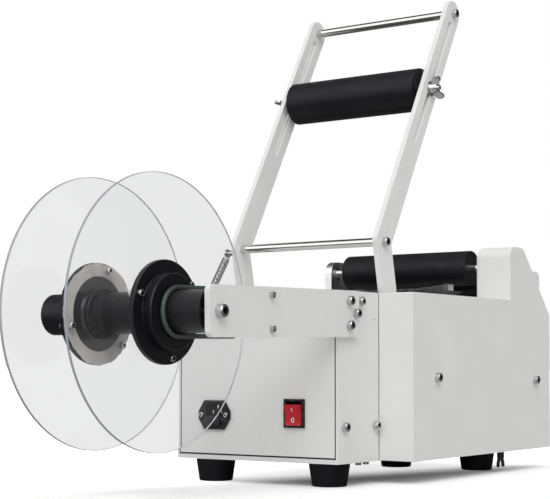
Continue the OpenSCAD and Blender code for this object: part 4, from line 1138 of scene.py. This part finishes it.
@dataclass
class LabelReel(Assembly):
    """Tube, discs, flanges, paper and brake belt of the label reel.

    Attributes:
        tube_wall: Wall of the tube.
        tube_edge: Rounding of the tube's ends.
        boss_r: Radius of the boss that centres a disc.
        hub_r: Radius of the clamp hub.
        flange_t: Thickness of the clamp plate.
        bore_r: Radius of the bore on the tube.
        chamfer: Rounding of the flange's edges.
        plate_edge: Rounding of the clamp plate's edge on the disc's side.
        hub_edge: Rounding of the hub's outer edge.
        disc_edge: Rounding of a disc's edge.
        disc_room: Room between a disc and its boss.
        rim: How far in from its edge a disc has the rim's finish.
        paper_t: Room for the paper between a disc and its flange.
        paper_off: Room between the paper and the far disc.
        paper_grid: Steps round the paper ring and across it.
        tear: Depth of the tears in the paper's edge.
        tear_bite: How sharply the edge changes between torn and whole.
        tear_waves: Waves round the torn edge, each with its divisor.
        post_r: Radius of a brake post.
        post_edge: Rounding of the posts' edges.
        post_head: Size of the heads on the posts, as a share of the plain solids' heads.
        belt_room: Room between the brake belt and what it runs on.
        belt_sides: Sides of the belt's section.
        belt_steps: Steps of the belt's bends, round the tube and round a post.
    """

    edges: Edges = (("reel_spindle", 0.8, 2),)
    tube_wall: float = 3.0 * MM
    tube_edge: float = 0.75 * MM
    boss_r: float = 25.5 * MM
    hub_r: float = 38.0 * MM
    flange_t: float = 6.0 * MM
    bore_r: float = 21.05 * MM
    chamfer: float = 1.0 * MM
    plate_edge: float = 0.5 * MM
    hub_edge: float = 1.6 * MM
    disc_edge: float = 0.5 * MM
    disc_room: float = 0.1 * MM
    rim: float = 0.4 * MM
    paper_t: float = 0.4 * MM
    paper_off: float = 0.06 * MM
    paper_grid: tuple[int, int] = (360, 4)
    tear: float = 2.6 * MM
    tear_bite: float = 1.4
    tear_waves: tuple[tuple[int, float], ...] = ((3, 2.2), (7, 3.0), (16, 4.0), (37, 5.0), (71, 7.0))
    post_r: float = 4.0 * MM
    post_edge: float = 0.4 * MM
    post_head: float = 0.64
    belt_room: float = 0.3 * MM
    belt_sides: int = 20
    belt_steps: tuple[int, int] = (64, 20)

    def build(self) -> None:
        """Makes all the reel's pieces."""
        super().build()
        bore = radius_of("reel_tube") - self.tube_wall
        self.shop.turn("reel_tube", sleeve("reel_tube", bore, self.tube_edge, self.tube_edge))
        for side in Side:
            name = side.name.lower()
            self._disc(f"{name}_disc")
            self._flange(side, f"{name}_disc", f"{name}_flange")
            self.shop.screws(f"{name}_flange_screws")
        self._paper()
        self._belt()
        self.shop.soften("brake_posts", self.post_edge, shape=self._small_heads)

    def _disc(self, node: str) -> None:
        """Makes a clear disc whose rim has its own finish, with painted light on the rim's inner side.

        Args:
            node: Name of the disc's node.
        """
        line, rim_from = Turned.about(node), radius_of(node) - self.rim

        def on_rim(face: Face) -> bool:
            """True for the faces of the rim."""
            middle = face.calc_center_median()
            return math.hypot(middle.x - line.x, middle.z - line.z) > rim_from

        profile = sleeve(node, self.boss_r + self.disc_room, self.disc_edge, steps=3)
        self.shop.turn(node, profile, sides=256, second=("disc_rim", on_rim))

    def _flange(self, side: Side, disc: str, node: str) -> None:
        """Makes clamp plate, hub and boss in one turning.

        Args:
            side: Which way the reel side faces.
            disc: Name of the disc's node.
            node: Name of the flange's node.
        """
        ends = [corner.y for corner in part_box(node)]
        faces = [corner.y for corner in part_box(disc)]
        near = side is Side.NEAR
        hub_end, boss_end = ends if near else reversed(ends)
        face = faces[0] if near else faces[1]
        back, front = face + self.flange_t * side.value, face + self.paper_t * side.value
        plate_r, ease = radius_of(node), self.chamfer
        self.shop.turn(node, rounded([
            (boss_end, self.bore_r), (boss_end, self.boss_r), (front, self.boss_r), (front, plate_r),
            (back, plate_r), (back, self.hub_r), (hub_end, self.hub_r), (hub_end, self.bore_r)],
            [0, ease, 0, self.plate_edge, ease, ease, self.hub_edge, ease], steps=3))

    def _paper(self) -> None:
        """Ring of paper with a torn edge, held between the far disc and its flange."""
        node = "far_paper_ring"
        low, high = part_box(node)
        line, outer = Turned.about(node), radius_of(node)
        sides, rows = self.paper_grid
        edges = []
        for turn in turns(sides):
            ragged = sum(math.sin(turn * waves + waves * waves) / depth for waves, depth in self.tear_waves)
            edges.append((turn, outer - self.tear * (0.5 + 0.5 * math.tanh(ragged * self.tear_bite))))
        mesh = bmesh.new()
        out = range(rows + 1)
        levels = [(low.y + self.paper_off, row) for row in out] + [(high.y, row) for row in reversed(out)]
        rings = [
            [mesh.verts.new(line.point(turn, y, self.hub_r + (edge - self.hub_r) * row / rows))
             for turn, edge in edges]
            for y, row in levels]
        self.shop.fasten(self.shop.piece("torn_paper_ring", bridge(mesh, rings), "kraft_paper"), node)

    def _small_heads(self, mesh: Mesh) -> None:
        """Draws in the heads that the brake posts show in front of the arm.

        Args:
            mesh: Mesh of the posts.
        """
        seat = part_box("reel_arm")[0].y
        for part in loose_parts(mesh):
            low, high = box_of(part)
            base = Vector(((low.x + high.x) / 2, seat, (low.z + high.z) / 2))
            for vert in part:
                if vert.co.y < seat + MERGE_DISTANCE:
                    vert.co = base + (vert.co - base) * self.post_head

    def _belt(self) -> None:
        """Endless round belt over the tube and the two posts, along the sagging arm."""
        low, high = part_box("brake_belt")
        reel, posts = middle_of("reel_tube"), middle_of("brake_posts")
        cord_r, y = (high.y - low.y) / 2, (low.y + high.y) / 2
        belt_r = radius_of("reel_tube") + self.belt_room + cord_r
        bend_r = self.post_r + self.belt_room + cord_r
        rise = belt_r - bend_r
        run = Vector((posts.x - reel.x, posts.z - reel.z))
        along = run.normalized()
        wide, tight = self.belt_steps
        outline = (
            arc((0.0, 0.0), belt_r, 90, 270, wide)
            + arc((run.length, -rise), bend_r, -90, 0, tight)
            + arc((run.length, rise), bend_r, 0, 90, tight))
        path = [
            Vector((reel.x + along.x * s - along.y * t, y, reel.z + along.y * s + along.x * t))
            for s, t in outline]
        item = self.shop.sweep("round_brake_belt", path, cord_r, self.belt_sides, "green_belt", closed=True)
        self.shop.fasten(item, "brake_belt")


@dataclass
class PressFrame(Assembly):
    """Slotted arms, bars, press roller and return spring.

    Attributes:
        bar_wall: Wall of the bars round the thread in their ends.
        bar_edge: Rounding of the bars' ends.
        roller_edge: Rounding of the press roller's ends.
        core_r: Radius of the roller's core.
        wire_r: Radius of the spring's wire.
        wire_sides: Sides of the wire's section.
        coil_r: Mean radius of the curls.
        curls: Number of curls.
        pitch: Rise of one curl.
        lead_r: Radius of the bend between a hook and the curls.
        hook_turn: Turn of a hook in degrees.
        wire_steps: Steps of a hook, a bend and a curl.
    """

    edges: Edges = (
        ("near_arm", 0.7, 3), ("far_arm", 0.7, 3), ("press_core", 0.6, 2), ("press_axle", 0.5, 2),
        ("wing_nuts", 0.6, 3), ("spring_pin", 0.4, 2), ("spring_anchor", 0.4, 2))
    bar_wall: float = 1.9 * MM
    bar_edge: float = 0.4 * MM
    roller_edge: float = 1.4 * MM
    core_r: float = 20.0 * MM
    wire_r: float = 0.6 * MM
    wire_sides: int = 10
    coil_r: float = 3.9 * MM
    curls: int = 53
    pitch: float = 1.7 * MM
    lead_r: float = 2.0 * MM
    hook_turn: float = 290.0
    wire_steps: tuple[int, int, int] = (28, 6, 20)

    def build(self) -> None:
        """Makes the frame's pieces."""
        super().build()
        self.shop.screws("frame_bolts")
        for node in ("handle_bar", "tie_bar"):
            bore = radius_of(node) - self.bar_wall
            self.shop.turn(node, sleeve(node, bore, self.bar_edge, steps=3), sides=64)
        self.shop.turn("press_roller", sleeve("press_roller", self.core_r, self.roller_edge), sides=128)
        self._spring()

    def _spring(self) -> None:
        """Wound spring from its anchor to its pin, drawn where the two pins stand now; the real spring
        stretches as the frame swings.
        """
        ends = [middle_of(node) for node in ("spring_anchor", "spring_pin")]
        for end in ends:
            end.y = middle_of("return_spring").y
        span = (ends[1] - ends[0]).length
        along = (ends[1] - ends[0]).normalized()
        side = Vector((-along.z, 0.0, along.x))
        path = [ends[0] + along * s + side * p + ACROSS * q for s, p, q in self._wire(span)]
        item = self.shop.sweep("return_spring_wound", path, self.wire_r, self.wire_sides, "spring_steel")
        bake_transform(item)
        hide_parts("return_spring")
        self.shop.note(item, "return_spring")

    def _wire(self, span: float) -> list[tuple[float, float, float]]:
        """Draws the middle line of the wire.

        Args:
            span: Distance between the two pins.

        Returns:
            Points along the span, square to it and across.
        """
        coil = self.curls * self.pitch
        start = (span - coil) / 2 - self.lead_r
        lead_turn = self.lead_r / self.coil_r
        hook_steps, lead_steps, curl_steps = self.wire_steps

        def on_coil(s: float, turn: float) -> tuple[float, float, float]:
            """Point of the coil at a distance and a turn."""
            return (s, -self.coil_r * math.cos(turn), -self.coil_r * math.sin(turn))

        hook = arc((0.0, 0.0), self.coil_r, 270.0 - self.hook_turn, 270.0, hook_steps)
        lead = [
            on_coil(start + self.lead_r * math.sin(a), lead_turn * (1 - math.cos(a)))
            for a in (math.pi / 2 * k / lead_steps for k in range(lead_steps))]
        steps = self.curls * curl_steps
        turn_all = 2 * math.pi * self.curls - 2 * lead_turn
        curls = [
            on_coil(start + self.lead_r + coil * k / steps, lead_turn + turn_all * k / steps)
            for k in range(steps + 1)]
        opening = [(s, p, 0.0) for s, p in hook] + lead
        closing = [(span - s, p, -q) for s, p, q in reversed(opening)]
        return opening + curls + closing


@dataclass
class RollerCradle(Assembly):
    """Drive roller, idler, bracket, label table and the drive behind them.

    Attributes:
        shaft_r: Radius of the drive roller's shaft.
        core_r: Radius of that shaft inside the rubber.
        end_t: Thickness of the rubber over the core's ends.
        idler_bore_r: Radius of the idler's bore.
        roller_edge: Rounding of the rollers' ends.
    """

    edges: Edges = (
        ("roller_bracket", 0.6, 2), ("peel_plate", 0.3, 2), ("label_guide", 0.25, 2),
        ("drive_shaft", 0.6, 2), ("tension_screw", 0.5, 2))
    shaft_r: float = 6.0 * MM
    core_r: float = 15.0 * MM
    end_t: float = 3.0 * MM
    idler_bore_r: float = 5.05 * MM
    roller_edge: float = 1.6 * MM

    def build(self) -> None:
        """Makes the rollers and their neighbours."""
        low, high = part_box("drive_roller")
        start, end = low.y + self.end_t, high.y - self.end_t
        core = [(end, self.shaft_r), (end, self.core_r), (start, self.core_r), (start, self.shaft_r)]
        drive = sleeve("drive_roller", self.shaft_r, self.roller_edge) + core
        idler = sleeve("idler_roller", self.idler_bore_r, self.roller_edge)
        for node, profile in (("drive_roller", drive), ("idler_roller", idler)):
            self.shop.turn(node, profile, sides=128)
        super().build()


@dataclass
class Electrics(Assembly):
    """Mains inlet, rocker switch and key panel.

    Attributes:
        inlet_edge: Rounding of the inlet's edges.
        pin_places: Offsets of the pins from the inlet's middle, across and up.
        pin_half: Half the width and half the height of a pin, with room.
        pin_face: Largest area of a pin's face.
        pin_tip: Where the pins end along X, from the inlet's middle.
        front_normal: Greatest X of the normal of the rocker's front faces.
        mark_t: Thickness of the marks on the rocker.
        bar_half: Half the width and half the height of the bar.
        ring_r: Outer and inner radius of the ring across.
        ring_tall: Height of the ring for its width.
        ring_sides: Sides of the ring.
        margin: Edge of the key panel left free.
        window_inset: How far the display window ends from the panel's end and reaches down.
        key: Width and height of a key.
        key_columns: Number of keys in the row.
        key_gap: Gap between keys.
        pad_longer: How much longer the two pads are than a key.
        key_corner: Rounding of a key's corners.
        key_inset: How far the top of a key is drawn in.
        key_wall: Height of a key's upright sides over the panel.
        key_rise: Height of the whole key.
        key_sunk: How far a key reaches into the panel.
    """

    edges: Edges = (("switch_bezel", 0.5, 2), ("switch_rocker", 0.5, 3), ("control_panel", 0.5, 2))
    inlet_edge: float = 0.3 * MM
    pin_places: tuple[tuple[float, float], ...] = (
        (-7.0 * MM, 3.0 * MM), (7.0 * MM, 3.0 * MM), (0.0, 9.0 * MM))
    pin_half: tuple[float, float] = (1.3 * MM, 2.3 * MM)
    pin_face: float = 60.0 * MM * MM
    pin_tip: float = -13.0 * MM
    front_normal: float = -0.8
    mark_t: float = 0.12 * MM
    bar_half: tuple[float, float] = (0.45 * MM, 2.2 * MM)
    ring_r: tuple[float, float] = (2.1 * MM, 1.35 * MM)
    ring_tall: float = 1.25
    ring_sides: int = 40
    margin: float = 9.0 * MM
    window_inset: tuple[float, float] = (52.0 * MM, 30.0 * MM)
    key: tuple[float, float] = (18.0 * MM, 12.0 * MM)
    key_columns: int = 4
    key_gap: float = 5.0 * MM
    pad_longer: float = 8.0 * MM
    key_corner: float = 2.5 * MM
    key_inset: float = 0.5 * MM
    key_wall: float = 0.42 * MM
    key_rise: float = 0.7 * MM
    key_sunk: float = 0.3 * MM

    def build(self) -> None:
        """Makes the inlet, the switch and the panel."""
        super().build()
        self._inlet()
        self._marks()
        self._panel()

    def _inlet(self) -> None:
        """Inlet with bright pins, and its screws."""
        middle, (half_w, half_h) = middle_of("power_inlet"), self.pin_half

        def on_pin(face: Face) -> bool:
            """True for the faces of the pins."""
            centre = face.calc_center_median() - middle
            if face.calc_area() > self.pin_face or centre.x < self.pin_tip:
                return False
            return any(
                abs(centre.y - y) < half_w and abs(centre.z - z) < half_h for y, z in self.pin_places)

        self.shop.soften("power_inlet", self.inlet_edge, second=("nickel", on_pin))
        self.shop.screws("inlet_screws", socket_sides=4)

    def _marks(self) -> None:
        """Bar and ring on the two faces of the rocker."""
        mesh = merged("switch_rocker")
        fronts = sorted((
            (-face.calc_area(), tuple(face.calc_center_median()), tuple(face.normal))
            for face in mesh.faces if face.normal.x < self.front_normal))
        mesh.free()
        upper, lower = sorted(fronts[:2], key=lambda front: -front[1][2])
        for mark, (_, centre, normal) in ((Mark.BAR, upper), (Mark.RING, lower)):
            shape = self._mark(mark, Vector(centre), Vector(normal))
            self.shop.trim(f"rocker_{mark.value}", shape, "white_print", "switch_rocker")

    def _mark(self, mark: Mark, centre: Vector, normal: Vector) -> Mesh:
        """Makes a thin raised mark on a face.

        Args:
            mark: Its form.
            centre: Middle of the face.
            normal: Outward normal of the face.

        Returns:
            The mark's mesh.
        """
        up = ACROSS.cross(normal).normalized()
        low, high = -self.mark_t, self.mark_t
        if mark is Mark.BAR:
            w, h = self.bar_half
            bar = [(-w, -h), (w, -h), (w, h), (-w, h)]
            loops = [(low, bar), (high, bar)]
        else:
            outer, inner = (
                [(r * math.cos(t), self.ring_tall * r * math.sin(t)) for t in turns(self.ring_sides)]
                for r in self.ring_r)
            loops = [(low, outer), (high, outer), (high, inner), (low, inner)]
        mesh = bmesh.new()
        rings = [
            [mesh.verts.new(centre + ACROSS * a + up * b + normal * lift) for a, b in loop]
            for lift, loop in loops]
        return bridge(mesh, rings, around=mark is Mark.RING)

    def _panel(self) -> None:
        """Display window, keys and two pads on the flat panel."""
        low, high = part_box("control_panel")
        margin, gap, (key_w, key_h) = self.margin, self.key_gap, self.key
        short, deep = self.window_inset
        window = (low.x + margin, high.z - deep, high.x - short, high.z - margin)
        plates = [("display_window", window, "display")]
        for column in range(self.key_columns):
            x, z = low.x + margin + column * (key_w + gap), low.z + margin
            plates.append((f"key_{column + 1}", (x, z, x + key_w, z + key_h), "grey_key"))
        for row, finish in enumerate(("red_key", "green_key")):
            x, z = high.x - margin, high.z - margin - key_h - (key_h + gap) * (1 - row) + gap
            plates.append((f"{finish}_pad", (x - key_w - self.pad_longer, z, x, z + key_h), finish))
        for name, corners, finish in plates:
            self.shop.trim(name, self._plate(corners, high.y), finish, "control_panel")

    def _plate(self, corners: tuple[float, float, float, float], y: float) -> Mesh:
        """Makes a low plate with round corners and a soft edge on a face that looks along +Y.

        Args:
            corners: X and Z of its low corner, then of its high corner.
            y: Place of the face.

        Returns:
            The plate's mesh.
        """
        x0, z0, x1, z1 = corners
        outline = rounded([(x0, z0), (x1, z0), (x1, z1), (x0, z1)], [self.key_corner] * 4)
        middle = Vector(((x0 + x1) / 2, (z0 + z1) / 2))
        mesh = bmesh.new()
        rings = []
        for lift, inset in ((-self.key_sunk, 0.0), (self.key_wall, 0.0), (self.key_rise, self.key_inset)):
            ring = []
            for corner in outline:
                offset = Vector(corner) - middle
                point = middle + offset * (1 - inset / max(offset.length, self.key_inset))
                ring.append(mesh.verts.new((point.x, y + lift, point.y)))
            rings.append(ring)
        return bridge(mesh, rings, around=False)


@dataclass
class Studio:
    """Camera, lamps, world and floor.

    Attributes:
        scene: The scene that they stand in.
        eye: Place of the camera.
        heading: Direction of the view, in degrees from +X towards +Y.
        pitch: Upward tilt of the view, in degrees.
        focal_px: Focal length in picture columns.
        sensor: Width of the camera's sensor, in its own millimetres.
        picture: Columns and rows of the picture.
        axis_row: Row of the picture that the lens points at, counted from the top.
        sun_from: Direction that the sun lamp shines from.
        sun_strength: Strength of the sun lamp.
        sun_angle: Angle that the sun lamp fills, in degrees.
        ambient: Strength of the even light all round.
        through: White of the surroundings seen through clear plastic.
        bright_from: Direction in which the surroundings are brightest in reflections.
        bands: Greys of the surroundings in reflections, from that direction's opposite to it.
        floor_half: Half the side of the floor.
        floor_pale: Grey of the floor to the eye.
        floor_bounce: Grey of the floor where it lights the machine.
        floor_mirrored: Grey of the floor in reflections.
        floor_painted_light: Glow of painted light on the floor, for the eye only, before and behind the
            machine, which lifts the floor to white and lightens the shadow unevenly.
        floor_painted_light_fade: Where that painted light changes, counted from the middle of the machine.
        floor_painted_light_turn: Direction in which it changes, in degrees from +X towards +Y.
    """

    scene: bpy.types.Scene
    eye: tuple[float, float, float] = (-1.3828, -0.9321, 0.1334)
    heading: float = 34.65
    pitch: float = 2.25
    focal_px: float = 1468.0
    sensor: float = 36.0
    picture: tuple[int, int] = (550, 499)
    axis_row: float = 306.5
    sun_from: tuple[float, float, float] = (-0.55, -0.35, 0.76)
    sun_strength: float = 1.7
    sun_angle: float = 50.0
    ambient: float = 0.60
    through: float = 0.86
    bright_from: tuple[float, float, float] = (-0.95, 0.0, 0.31)
    bands: tuple[tuple[float, float], ...] = (
        (0.0, 0.12), (0.30, 0.06), (0.64, 0.07), (0.75, 0.22), (0.84, 1.6), (1.0, 1.8))
    floor_half: float = 30.0
    floor_pale: float = 1.0
    floor_bounce: float = 0.62
    floor_mirrored: float = 0.15
    floor_painted_light: tuple[float, float] = (0.03, 0.75)
    floor_painted_light_fade: tuple[float, float] = (-0.01, 0.11)
    floor_painted_light_turn: float = 70.0

    def build(self) -> None:
        """Sets the whole stage."""
        self.scene.view_settings.view_transform = "Standard"
        self._camera()
        self._sun()
        self._world()
        self._floor()

    def _link(self, name: str, data: bpy.types.ID) -> bpy.types.Object:
        """Makes an object that is linked to the scene.

        Args:
            name: Its name.
            data: Its camera, lamp or mesh.

        Returns:
            The object.
        """
        item = bpy.data.objects.new(name, data)
        self.scene.collection.objects.link(item)
        return item

    def _camera(self) -> None:
        """Camera that looks a little up, with its frame shifted up."""
        data = bpy.data.cameras.new("camera")
        data.sensor_width = self.sensor
        data.sensor_fit = "HORIZONTAL"
        data.lens = self.sensor * self.focal_px / self.picture[0]
        data.shift_y = (self.axis_row - self.picture[1] / 2) / self.picture[0]
        camera = self._link("camera", data)
        camera.location = self.eye
        turn = math.radians(self.heading)
        view = Vector((math.cos(turn), math.sin(turn), math.tan(math.radians(self.pitch))))
        camera.rotation_euler = view.to_track_quat("-Z", "Y").to_euler()
        self.scene.camera = camera

    def _sun(self) -> None:
        """One broad soft lamp from above the reel."""
        data = bpy.data.lights.new("soft_sun", "SUN")
        data.energy = self.sun_strength
        data.angle = math.radians(self.sun_angle)
        lamp = self._link("soft_sun", data)
        lamp.rotation_euler = Vector(self.sun_from).to_track_quat("Z", "Y").to_euler()

    def _world(self) -> None:
        """White to the eye and through glass, banded in reflections, even for the rest."""
        world = bpy.data.worlds.new("studio")
        world.use_nodes = True
        world.node_tree.nodes.clear()
        self.scene.world = world
        graph = Graph(world.node_tree)
        direction = graph.add("ShaderNodeTexCoord", output="Generated")
        toward = graph.vector("DOT_PRODUCT", direction, self.bright_from, output="Value")
        bands = graph.node("ShaderNodeValToRGB", {"Fac": graph.spread(toward, low=-1.0, high=1.0)})
        stops = bands.color_ramp.elements
        for index, (where, level) in enumerate(self.bands):
            stop = stops[index] if index < 2 else stops.new(where)
            stop.position = where
            stop.color = grey(level)
        plain, banded, veiled, white = (
            graph.add("ShaderNodeBackground", {"Color": colour, "Strength": strength})
            for colour, strength in (
                (grey(1.0), self.ambient), (bands.outputs["Color"], 1.0),
                (grey(1.0), self.through), (grey(1.0), 1.0)))
        shown = graph.by_ray(plain, banded, veiled, white)
        graph.node("ShaderNodeOutputWorld", {"Surface": shown})

    def _floor(self) -> None:
        """Pale floor that looks white and keeps the shadow, lightened by painted light more towards one side.
        """
        half = self.floor_half
        data = bpy.data.meshes.new("floor")
        data.from_pydata(
            [(-half, -half, 0.0), (half, -half, 0.0), (half, half, 0.0), (-half, half, 0.0)],
            [], [(0, 1, 2, 3)])
        floor = self._link("floor", data)
        material, graph = blank_material("pale_floor", (1.0, 1.0, 1.0))
        pale, bounce, mirrored = (
            graph.add("ShaderNodeBsdfDiffuse", {"Color": grey(level)})
            for level in (self.floor_pale, self.floor_bounce, self.floor_mirrored))
        # Painted light: a glow for the eye that grows across the floor and lightens the shadow unevenly.
        place = graph.add("ShaderNodeNewGeometry", output="Position")
        turn = math.radians(self.floor_painted_light_turn)
        ahead = graph.vector("DOT_PRODUCT", place, (math.cos(turn), math.sin(turn), 0.0), output="Value")
        painted_floor_light = graph.spread(ahead, *self.floor_painted_light_fade, self.floor_painted_light, interpolation_type="SMOOTHSTEP")
        glow, veiled = (
            graph.add("ShaderNodeEmission", {"Color": grey(1.0), "Strength": strength})
            for strength in (painted_floor_light, self.through))
        bright = graph.add("ShaderNodeAddShader", {0: pale, 1: glow})
        shown = graph.by_ray(bounce, mirrored, veiled, bright)
        graph.node("ShaderNodeOutputMaterial", {"Surface": shown})
        data.materials.append(material)


def main() -> None:
    """Builds the stage and every sub-assembly, in order."""
    logging.basicConfig(level=logging.INFO, format="%(message)s")
    Studio(bpy.context.scene).build()
    shop = Workshop()
    for assembly in (Chassis, LabelReel, PressFrame, RollerCradle, Electrics):
        assembly(shop).build()
        log.info("%s done", assembly.__name__)
    shop.dress_rest()


if __name__ == "__main__":
    main()
